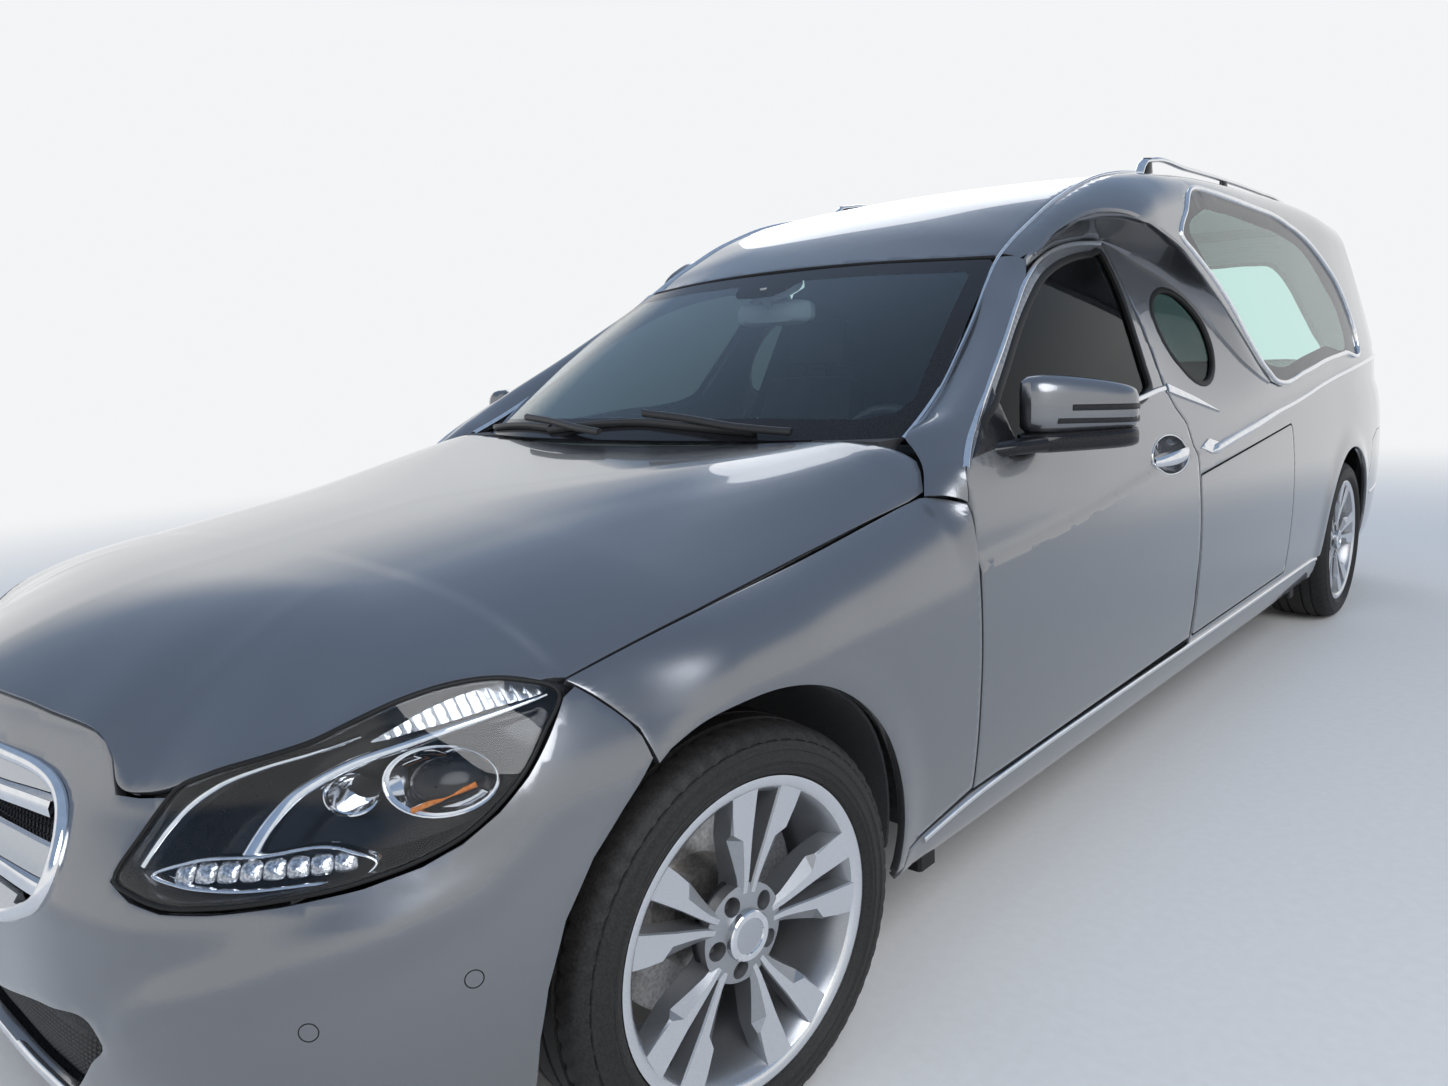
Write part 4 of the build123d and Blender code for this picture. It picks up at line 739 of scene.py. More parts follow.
def bumper_surface(u, z):
    """The nose's skin by distance along its plan curve and by height; a brow runs up from the intake."""
    along = abs(u)
    x = np.interp(along, nose_steps, nose_plan[:, 0])
    y = np.interp(along, nose_steps, nose_plan[:, 1])
    out_x = np.interp(along, nose_steps, nose_tangent[:, 1])
    out_y = -np.interp(along, nose_steps, nose_tangent[:, 0])
    share = np.clip((along - 0.72) / 0.36, 0, 1)
    share = share * share * (3 - 2 * share)
    middle = np.clip(along / 0.42, 0, 1)
    middle = 1 - middle * middle * (3 - 2 * middle)
    front = smooth_line(z, front_inset_z, front_inset) * (1 - middle)
    front = front + smooth_line(z, front_inset_z, middle_inset) * middle
    inset = front * (1 - share) + smooth_line(z, side_inset_z, side_inset) * share
    over = z - np.interp(along, brow_u, brow_z)
    strength = np.clip((along - 0.44) / 0.1, 0, 1) * np.clip((1.12 - along) / 0.25, 0, 1)
    inset = inset - strength * 0.009 * np.exp(-(over / 0.035) ** 2)
    inset = inset + strength * 0.004 * np.exp(-((over - 0.05) / 0.03) ** 2)
    x = (x - out_x * inset) * np.sign(u + 1e-12)
    return np.stack([x, y - out_y * inset, z], 1)


def bumper_side_place(y, z):
    """The distance along the bumper where it reaches back to a place."""
    tries = np.linspace(0.6, nose_steps[-1], 800)
    found = bumper_surface(tries, np.full(800, z))[:, 1]
    return float(np.interp(y, found, tries))


def both_halves(half):
    """A loop across the middle from its left half, which starts and ends on the middle line."""
    half = np.asarray(half, float)
    return np.vstack([half, np.flipud(half[1:-1]) * np.array((-1, 1))])


lamp_loop = [(0.511, 0.589), (0.547, 0.577), (0.594, 0.569), (0.658, 0.570), (0.746, 0.576),
             (0.842, 0.587), (0.912, 0.602), (0.960, 0.620), (1.007, 0.650), (1.048, 0.685),
             (1.085, 0.724), (1.122, 0.762), (1.062, 0.786), (0.980, 0.791), (0.912, 0.781),
             (0.846, 0.762), (0.778, 0.739), (0.697, 0.721), (0.624, 0.705), (0.569, 0.685),
             (0.547, 0.663), (0.529, 0.633)]
seam_half = [(0.0, 0.775), (0.08, 0.772), (0.159, 0.766), (0.22, 0.761), (0.286, 0.752), (0.354, 0.746),
             (0.395, 0.741), (0.420, 0.731), (0.436, 0.713), (0.445, 0.690), (0.456, 0.672),
             (0.504, 0.673), (0.563, 0.684)]
lamp_top_half = [(0.624, 0.706), (0.697, 0.722), (0.778, 0.740), (0.846, 0.763), (0.912, 0.782),
                 (0.980, 0.792), (1.062, 0.787), (1.118, 0.770)]
bumper_half = seam_half[:-1] + [(0.555, 0.678), (0.540, 0.660), (0.523, 0.633), (0.505, 0.589),
                                (0.545, 0.572), (0.594, 0.564), (0.658, 0.565), (0.746, 0.571),
                                (0.844, 0.582), (0.915, 0.597), (0.964, 0.616), (1.012, 0.647),
                                (1.053, 0.682), (1.090, 0.720), (1.126, 0.758)]
wing_tip_v = np.array((0.95, 0.88, 0.80, 0.74, 0.69, 0.66))
wing_tip_y = -0.19 - 0.078 * (wing_tip_v - 0.652) / 0.348
wing_tip = wing_surface(wing_tip_y, wing_tip_v)
bumper_half += [(bumper_side_place(y - 0.004, z), z + 0.003) for x, y, z in wing_tip]
bumper_half += [(bumper_side_place(y, z), z) for y, z in
                ((-0.25, 0.612), (-0.30, 0.561), (-0.345, 0.492),
                 (-0.373, 0.41), (-0.384, 0.34), (-0.384, 0.24), (-0.40, 0.195))]
bumper_half += [(0.5, 0.195), (0.0, 0.195)]
bumper_half = [(u, z - 0.003) for u, z in bumper_half]
bumper_loop = dense(both_halves(bumper_half))
grille_half = [(0.0, 0.703), (0.08, 0.701), (0.159, 0.696), (0.224, 0.691), (0.272, 0.685),
               (0.317, 0.673), (0.349, 0.657), (0.374, 0.637), (0.395, 0.605), (0.400, 0.570),
               (0.383, 0.541), (0.334, 0.513), (0.245, 0.481), (0.12, 0.457), (0.0, 0.449)]
grille_loop = through(both_halves(grille_half), 0.012)
intake_half = [(0.0, 0.365), (0.206, 0.374), (0.379, 0.405), (0.480, 0.402), (0.492, 0.388),
               (0.454, 0.346), (0.402, 0.294), (0.34, 0.252), (0.0, 0.238)]
intake_loop = through(both_halves(intake_half), 0.012)
brow_line = [np.stack([np.arange(0.45, 1.13, 0.012),
                       np.interp(np.arange(0.45, 1.13, 0.012), brow_u, brow_z)], 1)]
brow_line.append(brow_line[0] * np.array((-1, 1)))
bumper = pressing("front_bumper_skin", bumper_surface, bumper_loop, [grille_loop, intake_loop], 0.013,
                  0.016, (0, -1, 0), creases=brow_line)
finish_piece(bumper, "body", ["front_bumper"], paint)

# Bonnet: one large aluminium pressing with a soft shoulder that tightens towards its rear corners.
crown_x = (0, 0.2, 0.4, 0.55, 0.66, 0.74, 0.79, 0.825)
crown_z = (0.922, 0.920, 0.911, 0.898, 0.878, 0.855, 0.836, 0.8175)
nose_line = curve(seam_half + lamp_top_half, 0.008)
nose_edge = bumper_surface(nose_line[:, 0], nose_line[:, 1] + 0.003)


def bonnet_base(wide, y):
    edge = np.minimum(np.interp(y, shut_y, shut_x), 0.829)
    squeeze = 1 + 2.0 * np.clip(y / 0.62, 0, 1) ** 2
    station = np.clip(0.825 - (edge - wide) * squeeze, 0, 0.825)
    front = y < -0.27
    station = np.where(front, np.clip(wide, 0, 0.825), station)
    return smooth_line(station, crown_x, crown_z) + (0.122 + 0.02 * (wide / 0.825) ** 2) * y


nose_drop = bonnet_base(nose_edge[:, 0], nose_edge[:, 1]) - nose_edge[:, 2]


def bonnet_surface(x, y):
    wide = abs(x)
    gaps = np.hypot(wide[:, None] - nose_edge[None, :, 0], y[:, None] - nose_edge[None, :, 1])
    near = gaps.min(1)
    weights = np.exp(-(gaps - near[:, None]) / 0.012)
    drop = (weights * nose_drop[None]).sum(1) / weights.sum(1)
    z = bonnet_base(wide, y) - drop * np.clip(1 - near / 0.34, 0, 1) ** 2.2
    return np.stack([x, y, z], 1)


half_bonnet = [(0.0, 0.564)] + [(x, 0.564 + 0.153 * x * x) for x in (0.2, 0.4, 0.6, 0.72, 0.785)]
half_bonnet += [(0.800, 0.645), (0.8245, 0.612), (0.8250, 0.600), (0.8205, 0.45), (0.8190, 0.235),
                (0.8210, -0.018), (0.8150, -0.136), (0.8080, -0.262)]
half_bonnet += [(x, y) for x, y, z in nose_edge[::-1][2:]]
half_bonnet[-1] = (0.0, half_bonnet[-1][1])
bonnet_loop = dense(both_halves(half_bonnet), 0.013)
bonnet = pressing("bonnet_skin", bonnet_surface, bonnet_loop, [], 0.016, 0.014, (0, 0, 1))
finish_piece(bonnet, "bonnet", ["bonnet"], paint)

# Roof: a shallow crowned panel over the cab and the load space, with a seam to each body side.
roof_top_y = (1.20, 1.27, 1.48, 1.8, 2.1, 2.4, 3.2, 4.0, 4.3)
roof_top_z = (1.372, 1.412, 1.520, 1.628, 1.680, 1.705, 1.722, 1.708, 1.688)


def roof_surface(x, y):
    edge_z = smooth_line(y, seam_y, seam_height)
    top_z = smooth_line(y, roof_top_y, roof_top_z)
    return np.stack([x, y, edge_z + (top_z - edge_z) * (1 - (x / seam_x) ** 2)], 1)


half_roof = [(0.0, 1.268), (0.2, 1.277), (0.4, 1.305), (0.5, 1.328), (0.594, 1.358), (0.594, 2.0),
             (0.594, 3.0), (0.594, 4.262), (0.3, 4.285), (0.0, 4.292)]
roof_loop = half_roof + [(-x, y) for x, y in half_roof[::-1][1:-1]]
roof = pressing("roof_skin", roof_surface, dense(roof_loop, 0.018), [], 0.02, 0.012, (0, 0, 1))
finish_piece(roof, "body", ["roof_panel"], paint)

# Headlamps: one clear cover each over a black housing with two bright blades, a fluted reflector, a
# projector with a painted orange glint low in it, and a row of light cells along the bottom; a rubber
# seal runs round the cover.


def new_glass(name, color, ior):
    material = new_material(name, color, 0.0)
    shader_value(material, Transmission_Weight=1.0, IOR=ior)
    return material


def grained(name, color, roughness, metallic, *variation):
    """A material with fine variation: scale, dark, light, then the relief's strength and depth."""
    material = new_material(name, color, roughness, metallic)
    grain(material, *variation)
    return material


chrome = grained("chrome", (0.82, 0.83, 0.85), 0.07, 1.0, 60.0, (0.78, 0.79, 0.81), (0.86, 0.87, 0.89),
                 0.02, 0.0003, 2.0)
gloss_black = new_material("gloss_black", (0.012, 0.012, 0.014), 0.12)
shader_value(gloss_black, Specular_IOR_Level=0.3)
grain(gloss_black, 300.0, (0.008, 0.008, 0.01), (0.018, 0.018, 0.02), 0.05, 0.0002)
rubber = new_material("seal_rubber", (0.01, 0.01, 0.01), 0.5)
shader_value(rubber, Specular_IOR_Level=0.25)
grain(rubber, 500.0, (0.007, 0.007, 0.007), (0.016, 0.016, 0.016), 0.3, 0.0004)
clear_cover = new_glass("clear_cover", (0.96, 0.98, 1.0), 1.33)
satin_silver = grained("satin_silver", (0.5, 0.52, 0.55), 0.26, 0.9, 900.0, (0.46, 0.48, 0.51),
                       (0.56, 0.58, 0.61), 0.08, 0.0002)
# Orange of a painted glint: this colour stands in for light caught low in each headlamp's projector
# lens.
painted_glint_orange = grained("painted_orange_glint", (0.8, 0.22, 0.02), 0.1, 0.0, 200.0, (0.7, 0.16, 0.01), (0.9, 0.3, 0.04),
                0.1, 0.0004)
cell_glow = grained("light_cells", (0.5, 0.52, 0.54), 0.1, 0.85, 240.0, (0.30, 0.31, 0.33),
                    (0.72, 0.73, 0.76), 0.5, 0.001)


def set_back(surface, depth, across=0.35):
    """The same surface moved back into the nose, and towards the middle by a share of that."""
    def moved(u, v):
        return surface(u, v) + np.stack([-depth * across * np.sign(u + 1e-12), np.full(len(u), depth),
                                         np.zeros(len(u))], 1)
    return moved


def surface_normal(surface, u, v):
    step = 0.002
    along = surface(u + step, v) - surface(u - step, v)
    up = surface(u, v + step) - surface(u, v - step)
    normal = np.cross(along, up)
    return normal / np.linalg.norm(normal, axis=1)[:, None]


def face_out(piece, angle):
    """Turns the faces of a closed piece outward and shades it smooth up to an angle."""
    bpy.ops.object.select_all(action="DESELECT")
    piece.select_set(True)
    bpy.context.view_layer.objects.active = piece
    bpy.ops.object.mode_set(mode="EDIT")
    bpy.ops.mesh.select_all(action="SELECT")
    bpy.ops.mesh.normals_make_consistent(inside=False)
    bpy.ops.object.mode_set(mode="OBJECT")
    bpy.ops.object.shade_smooth_by_angle(angle=math.radians(angle))
    return piece


def strip(name, path, outward, profile, mirror=False, closed=False):
    """A trim along a path; its profile's points are across the path and out from the surface."""
    path = np.asarray(path, float)
    outward = np.broadcast_to(np.asarray(outward, float), path.shape)
    tangent = np.roll(path, -1, 0) - np.roll(path, 1, 0)
    if not closed:
        tangent[0] = path[1] - path[0]
        tangent[-1] = path[-1] - path[-2]
    tangent /= np.linalg.norm(tangent, axis=1)[:, None]
    outward = outward - tangent * (outward * tangent).sum(1)[:, None]
    outward /= np.linalg.norm(outward, axis=1)[:, None]
    across = np.cross(outward, tangent)
    profile = np.asarray(profile, float)
    if profile.ndim == 2:
        profile = np.repeat(profile[None], len(path), 0)
    count, size = len(path), profile.shape[1]
    points = path[:, None] + across[:, None] * profile[..., :1] + outward[:, None] * profile[..., 1:]
    points = points.reshape(-1, 3)
    faces = []
    for i in range(count - 1 + closed):
        for j in range(size):
            a, b = i * size, (i + 1) % count * size
            faces.append((a + j, a + (j + 1) % size, b + (j + 1) % size, b + j))
    if not closed:
        faces.append(tuple(range(size))[::-1])
        faces.append(tuple((count - 1) * size + j for j in range(size)))
    points = points + np.array((0, axle_y, 0))
    if mirror:
        points = points * np.array((-1, 1, 1))
    return face_out(mesh_piece(name, points, faces), 40)


def half_round(width, height, sunk=0.003, count=7):
    """Profile of a bright strip: a low round back on a flat foot."""
    angles = np.linspace(0, math.pi, count)
    top = [(width / 2 * math.cos(a), height * math.sin(a)) for a in angles]
    return [(width / 2, -sunk)] + top + [(-width / 2, -sunk)]


def trim_on(name, surface, line, profile, mirror=False, closed=False, side=1):
    """A trim that follows a flat outline laid on a surface."""
    path = surface(line[:, 0], line[:, 1])
    out = surface_normal(surface, line[:, 0], line[:, 1]) * side
    return strip(name, path, out, profile, mirror=mirror, closed=closed)


def squared(turns, power_u, power_v):
    """A circle drawn out towards a square; a smaller power is squarer."""
    return np.stack([np.copysign(abs(np.cos(turns)) ** power_u, np.cos(turns)),
                     np.copysign(abs(np.sin(turns)) ** power_v, np.sin(turns))], 1)


def dished(name, surface, loops, sinks, mirror):
    """A bowl or a dome: one loop inside another, each at its own depth below a surface."""
    rows = np.array([set_back(surface, sink)(loop[:, 0], loop[:, 1])
                     for loop, sink in zip(loops, sinks)])
    rows = np.concatenate([rows, rows[:, :1]], 1)
    return loft(name, rows, 0.002, (0.5, -1, 0), mirror=mirror)


lamp_outline = through(lamp_loop, 0.01)
blade_one = [(0.520, 0.592), (0.536, 0.623), (0.562, 0.653), (0.61, 0.680), (0.683, 0.703),
             (0.756, 0.718), (0.832, 0.736)]
blade_two = [(0.680, 0.609), (0.697, 0.637), (0.726, 0.665), (0.773, 0.688), (0.828, 0.708),
             (0.894, 0.724), (0.957, 0.738), (1.019, 0.748), (1.085, 0.757)]
flute_loop = [(0.835, 0.722), (0.871, 0.740), (0.926, 0.764), (0.991, 0.779), (1.053, 0.780),
              (1.090, 0.766), (0.994, 0.750), (0.916, 0.735)]
tray_loop = [(0.555, 0.590), (0.606, 0.606), (0.703, 0.613), (0.815, 0.615), (0.850, 0.598),
             (0.838, 0.588), (0.767, 0.583), (0.660, 0.579), (0.594, 0.583)]
cell_square = squared(np.linspace(0, 2 * math.pi, 16, endpoint=False) + 0.2, 0.55, 0.55)
housing_loop = lamp_outline.mean(0) + (lamp_outline - lamp_outline.mean(0)) * 0.985
for side, mirror in SIDES:
    cover = pressing("lamp_cover_" + side, set_back(bumper_surface, 0.001), lamp_outline, [], 0.014,
                     0.003, (0.5, -1, 0), edge=0, mirror=mirror)
    finish_piece(cover, "body", with_left(side, "headlamps"), clear_cover)
    back = pressing("lamp_back_" + side, set_back(bumper_surface, 0.10), housing_loop, [], 0.02, 0.003,
                    (0.5, -1, 0), edge=0, mirror=mirror)
    near_rim = set_back(bumper_surface, 0.006)(housing_loop[:, 0], housing_loop[:, 1])
    far_rim = set_back(bumper_surface, 0.10)(housing_loop[:, 0], housing_loop[:, 1])
    tunnel_rows = [[a + (b - a) * t for t in (0, 0.5, 1)] for a, b in zip(near_rim, far_rim)]
    tunnel = loft("lamp_tunnel_" + side, tunnel_rows, 0.003, (0, 0, 1), mirror=mirror, closed=True)
    finish_piece(join("lamp_housing_" + side, [back, tunnel]), "body", [], gloss_black)
    seal = trim_on("lamp_seal_" + side, bumper_surface, lamp_outline, half_round(0.006, 0.002, 0.006),
                   mirror=mirror, closed=True)
    finish_piece(seal, "body", [], rubber)
    bright = []
    for index, (line, depth, width) in enumerate(((blade_one, 0.030, 0.014), (blade_two, 0.024, 0.017))):
        flat_line = curve(line, 0.01)
        path = set_back(bumper_surface, depth)(flat_line[:, 0], flat_line[:, 1])
        out = surface_normal(bumper_surface, flat_line[:, 0], flat_line[:, 1])
        thins = 1.15 - 0.75 * np.linspace(0, 1, len(path))
        profiles = np.array([[(a * k, b) for a, b in half_round(width, 0.005, 0.012)] for k in thins])
        bright.append(strip(f"lamp_blade_{index}_{side}", path, out, profiles, mirror=mirror))
    flute = through(flute_loop, 0.006)
    flute = flute.mean(0) + (flute - flute.mean(0)) * np.array((0.93, 0.80))

    def fluted(u, v):
        points = set_back(bumper_surface, 0.035)(u, v)
        ridge = abs(np.sin((u * 1.5 + v * 0.5) * 130))
        return points - np.stack([0 * u, 0.004 * ridge, 0 * u], 1)

    ridged = pressing("lamp_flute_" + side, fluted, flute, [], 0.003, 0.002, (0.5, -1, 0), edge=0,
                      mirror=mirror)
    finish_piece(ridged, "body", [], satin_silver)
    for center_u, center_z, half_u, half_z, depth in ((0.912, 0.672, 0.072, 0.040, 0.05),
                                                      (0.775, 0.655, 0.04, 0.022, 0.07)):
        loops = [ring(center_u, center_z, half_u * share, half_z * share, 36)
                 for share in (1.0, 1.02, 0.94, 0.86, 0.55, 0.05)]
        sinks = [depth + sunk for sunk in (0.0, 0.004, 0.004, 0.02, 0.034, 0.04)]
        bright.append(dished(f"lamp_reflector_{depth}_{side}", bumper_surface, loops, sinks, mirror))
    tray = through(tray_loop, 0.006)
    tray_path = set_back(bumper_surface, 0.018)(tray[:, 0], tray[:, 1])
    bright.append(strip("lamp_tray_" + side, tray_path, (0.4, -1, 0), half_round(0.004, 0.003, 0.01),
                        mirror=mirror, closed=True))
    finish_piece(join("lamp_brightwork_" + side, bright), "body", [], chrome)
    cells = []
    for index in range(8):
        center_u = 0.598 + index * 0.0300
        center_z = 0.5935 + index * 0.0012
        loops = [np.array((center_u, center_z)) + cell_square * np.array((0.0142, 0.0112)) * share
                 for share in (1.0, 0.9, 0.6, 0.05)]
        sinks = [0.024 + sunk for sunk in (0.0, -0.003, -0.0055, -0.007)]
        cells.append(dished(f"lamp_cell_{index}_{side}", bumper_surface, loops, sinks, mirror))
    finish_piece(join("lamp_cells_" + side, cells), "body", [], cell_glow)
    loops = [ring(0.912, 0.668, 0.046 * share, 0.027 * share, 30)
             for share in (1.0, 0.92, 0.7, 0.4, 0.04)]
    sinks = [0.066 + sunk for sunk in (0.0, -0.008, -0.016, -0.021, -0.023)]
    projector = dished("lamp_projector_" + side, bumper_surface, loops, sinks, mirror)
    finish_piece(projector, "body", [], gloss_black)
    # Painted glint: an orange strip low in the projector stands in for light reflected in its lens.
    glint_path = set_back(bumper_surface, 0.052)(np.linspace(0.872, 0.955, 9),
                                                 np.linspace(0.640, 0.664, 9))
    glint = strip("lamp_painted_glint_" + side, glint_path, (0.4, -1, 0), half_round(0.007, 0.004),
                  mirror=mirror)
    finish_piece(glint, "body", [], painted_glint_orange)

# Grille: a bright frame round three broad satin slats with bright lower edges, over a black wire mesh.
mesh_black = grained("mesh_black", (0.016, 0.016, 0.017), 0.35, 0.0, 400.0, (0.01, 0.01, 0.011),
                     (0.026, 0.026, 0.028), 0.2, 0.0004)
grille_mid = grille_loop.copy()
grille_mid[:, 0] *= 0.972
grille_mid[:, 1] = 0.572 + (grille_mid[:, 1] - 0.572) * 0.93
grille_bright = [trim_on("grille_frame", bumper_surface, grille_mid, half_round(0.021, 0.009, 0.03),
                         closed=True)]
slats = []
for index, (face_top, face_low, chrome_low, reach) in enumerate(((0.680, 0.643, 0.615, 0.318),
                                                                (0.596, 0.556, 0.530, 0.366),
                                                                (0.512, 0.486, 0.466, 0.260))):
    stations = np.linspace(-reach, reach, 41)
    middle_z = (face_top + face_low) / 2
    half = (face_top - face_low) / 2
    path = set_back(bumper_surface, 0.020)(stations, np.full(41, middle_z))
    slats.append(strip(f"grille_slat_{index}", path, (0, -1, 0),
                       [(half, -0.006), (half * 0.9, 0.0), (0, 0.008), (-half * 0.95, 0.014),
                        (-half, 0.010), (-half, -0.010)]))
    middle_z = (face_low + chrome_low) / 2
    half = (face_low - chrome_low) / 2
    path = set_back(bumper_surface, 0.012)(stations, np.full(41, middle_z))
    grille_bright.append(strip(f"grille_edge_{index}", path, (0, -1, 0),
                               [(half, -0.012), (half, 0.002), (half * 0.4, 0.006), (-half * 0.5, 0.005),
                                (-half, -0.002), (-half, -0.012)]))
finish_piece(join("grille_brightwork", grille_bright), "body", ["grille"], chrome)
finish_piece(join("grille_slats", slats), "body", [], satin_silver)
for name, loop, depth in (("grille", grille_mid, 0.045), ("intake", intake_loop, 0.03)):
    flat, faces = cut_sheet(loop, [], 0.011)
    points = set_back(bumper_surface, depth, 0.0)(flat[:, 0], flat[:, 1]) + np.array((0, axle_y, 0))
    screen = mesh_piece(name + "_mesh", points, faces)
    wires = screen.modifiers.new("wires", "WIREFRAME")
    wires.thickness = 0.0032
    screen = use_modifiers(screen)
    finish_piece(screen, "body", [], mesh_black)
    plate = pressing(name + "_back", set_back(bumper_surface, depth + 0.02, 0.0), loop, [], 0.03, 0.003,
                     (0, -1, 0), edge=0)
    rim_near = set_back(bumper_surface, 0.004, 0.0)(loop[:, 0], loop[:, 1])
    rim_far = set_back(bumper_surface, depth + 0.02, 0.0)(loop[:, 0], loop[:, 1])
    duct = loft(name + "_duct", [[a, b] for a, b in zip(rim_near, rim_far)], 0.003, (0, 0, 1),
                closed=True)
    finish_piece(join(name + "_box", [plate, duct]), "body", [], gloss_black)
sensors = []
for index, (center_u, center_z) in enumerate(((0.769, 0.42), (0.96, 0.448), (-0.769, 0.42),
                                              (-0.96, 0.448))):
    circle = ring(center_u, center_z, 0.0115, 0.0115, 24)
    sensors.append(strip(f"sensor_ring_{index}", bumper_surface(circle[:, 0], circle[:, 1]),
                         (0.5 * np.sign(center_u), -1, 0), half_round(0.0016, 0.0006, 0.001),
                         closed=True))
finish_piece(join("parking_sensor_rings", sensors), "body", [], rubber)
stations = np.linspace(-0.56, 0.56, 61)
blade_path = bumper_surface(stations, 0.222 + 0.03 * (stations / 0.56) ** 2)
lower_blade = strip("intake_blade", blade_path, (0, -1, 0), half_round(0.018, 0.006, 0.004))
finish_piece(lower_blade, "body", [], chrome)

# Windscreen: laminated glass bonded to the body, with a black printed border and a sensor cover at its
# top.
screen_tint = new_glass("windscreen_glass", (0.76, 0.86, 0.88), 1.45)


def screen_surface(x, z):
    bulge = 0.012 * np.sin(np.clip((z - 1.0) / 0.41, 0, 1) * math.pi)
    return np.stack([x, 0.57 + (z - 1.0) * 1.699 + 0.25 * x * x + 0.50 * x**6 - bulge, z + 0.5 * bulge],
                    1)


def tube(half_u, half_v, count):
    """The oval section of a rod or tube."""
    return [(half_u * math.cos(a), half_v * math.sin(a))
            for a in np.linspace(0, 2 * math.pi, count + 1)[:-1]]


screen_half = [(0.0, 1.001), (0.40, 1.001), (0.700, 1.000), (0.720, 1.010), (0.669, 1.190),
               (0.606, 1.374), (0.590, 1.386), (0.3, 1.400), (0.0, 1.405)]
screen_loop = dense(both_halves(screen_half), 0.014)
clear_half = [(0.0, 1.045), (0.40, 1.042), (0.60, 1.036), (0.655, 1.046), (0.668, 1.075), (0.628, 1.200),
              (0.576, 1.345), (0.555, 1.358), (0.3, 1.370), (0.11, 1.373), (0.085, 1.345), (0.06, 1.334),
              (0.0, 1.331)]
clear_loop = dense(both_halves(clear_half), 0.014)
border = pressing("windscreen_border", screen_surface, screen_loop, [clear_loop], 0.014, 0.005,
                  (0, -1, 1), edge=0)
finish_piece(border, "body", ["windscreen"], gloss_black)
pane = pressing("windscreen_pane", screen_surface, clear_loop, [], 0.025, 0.005, (0, -1, 1), edge=0)
finish_piece(pane, "body", [], screen_tint)
header_line = curve([(-0.592, 1.357), (-0.5, 1.326), (-0.4, 1.303), (-0.2, 1.275), (0.0, 1.266),
                     (0.2, 1.275), (0.4, 1.303), (0.5, 1.326), (0.592, 1.357)], 0.02)
header_path = roof_surface(header_line[:, 0], header_line[:, 1]) + np.array((0, -0.003, 0.0))
header = strip("screen_header_seal", header_path, (0, -0.5, 0.85), half_round(0.012, 0.003, 0.012))
finish_piece(header, "body", [], rubber)
sensor_loop = through(both_halves([(0.0, 1.396), (0.07, 1.392), (0.082, 1.372), (0.060, 1.352),
                                   (0.0, 1.345)]), 0.008)
sensor_box = pressing("screen_sensor_box", set_back(screen_surface, 0.012, 0.0), sensor_loop, [], 0.012,
                      0.03, (0, -1, 1), edge=0.004)
mirror_rows = []
for share, deep, grow in ((0, 0.0, 0.02), (1, 0.0, 0.90), (2, 0.003, 1.0), (3, 0.020, 1.0),
                          (4, 0.040, 0.72), (5, 0.048, 0.05)):
    outline = squared(np.linspace(0, 2 * math.pi, 33), 0.45, 0.55)
    wide, tall = (outline * np.array((0.118, 0.034)) * grow).T
    mirror_rows.append(np.stack([wide, 1.235 - deep + wide * 0.12, 1.292 + tall], 1))
inner_mirror = loft("inside_mirror", mirror_rows, 0, (0, -1, 0))
stem = strip("inside_mirror_stem", [(0, 1.20, 1.30), (0, 1.175, 1.335), (0, 1.172, 1.362)], (0, -1, 0),
             tube(0.011, 0.008, 12))
inner_mirror = join("inside_mirror", [inner_mirror, stem, sensor_box])
mirror_grey = grained("mirror_shell", (0.38, 0.40, 0.42), 0.38, 0.0, 500.0, (0.34, 0.36, 0.38),
                      (0.42, 0.44, 0.46), 0.2, 0.0003)
finish_piece(inner_mirror, "body", [], mirror_grey)

# Door windows: dark tinted toughened glass in black seals, with bright strips along the frame and the
# belt.
dark_tint = new_glass("door_glass", (0.05, 0.075, 0.075), 1.16)


def shifted(surface, move):
    """The same surface moved by a vector."""
    def moved(u, v):
        return surface(u, v) + np.array(move)
    return moved


def inward(surface, depth):
    return shifted(surface, (-depth, 0, 0))


door_chrome = [(0.668, 0.951), (0.71, 0.985), (0.793, 1.037), (0.908, 1.101), (1.066, 1.186),
               (1.205, 1.264), (1.343, 1.335), (1.471, 1.384), (1.615, 1.4205), (1.774, 1.443),
               (1.930, 1.4525)]
belt_chrome = [(0.84, 0.969), (1.10, 0.983), (1.40, 1.005), (1.70, 1.031), (1.80, 1.040), (1.858, 1.043)]
for side, mirror in SIDES:
    glass_outline = dense(door_glass_loop, 0.014)
    pane = pressing("door_pane_" + side, inward(side_surface, 0.010), glass_outline, [], 0.03, 0.004,
                    (1, 0, 0), edge=0, mirror=mirror)
    finish_piece(pane, "door_" + side, ["door_glass_" + side], dark_tint)
    seal = trim_on("door_seal_" + side, side_surface, door_glass_loop, half_round(0.020, 0.003, 0.016),
                   mirror=mirror, closed=True)
    finish_piece(seal, "door_" + side, [], rubber)
    bright = []
    for name, line, width in (("frame", door_chrome, 0.014), ("belt", belt_chrome, 0.017)):
        bright.append(trim_on(f"door_{name}_{side}", side_surface, curve(line, 0.012),
                              half_round(width, 0.006, 0.004), mirror=mirror))
    bow_t = np.linspace(0, 1, 15)
    bow_y = 1.606 + 0.240 * bow_t
    bow_z = 0.866 + 0.012 * bow_t
    lift = 0.026 * np.sin(bow_t * math.pi) ** 0.7
    bow_path = side_surface(bow_y, bow_z) + np.stack([lift, 0 * lift, 0 * lift], 1)
    half_high = 0.011 + 0.007 * np.sin(bow_t * math.pi)
    profiles = np.array([tube(high, 0.008, 12) for high in half_high])
    bright.append(strip("door_handle_" + side, bow_path, (1, 0, 0), profiles, mirror=mirror))
    bright.append(trim_on("handle_ring_" + side, side_surface, handle_ring,
                          half_round(0.004, 0.0015, 0.002), mirror=mirror, closed=True))
    finish_piece(join("door_brightwork_" + side, bright), "door_" + side, [], chrome)

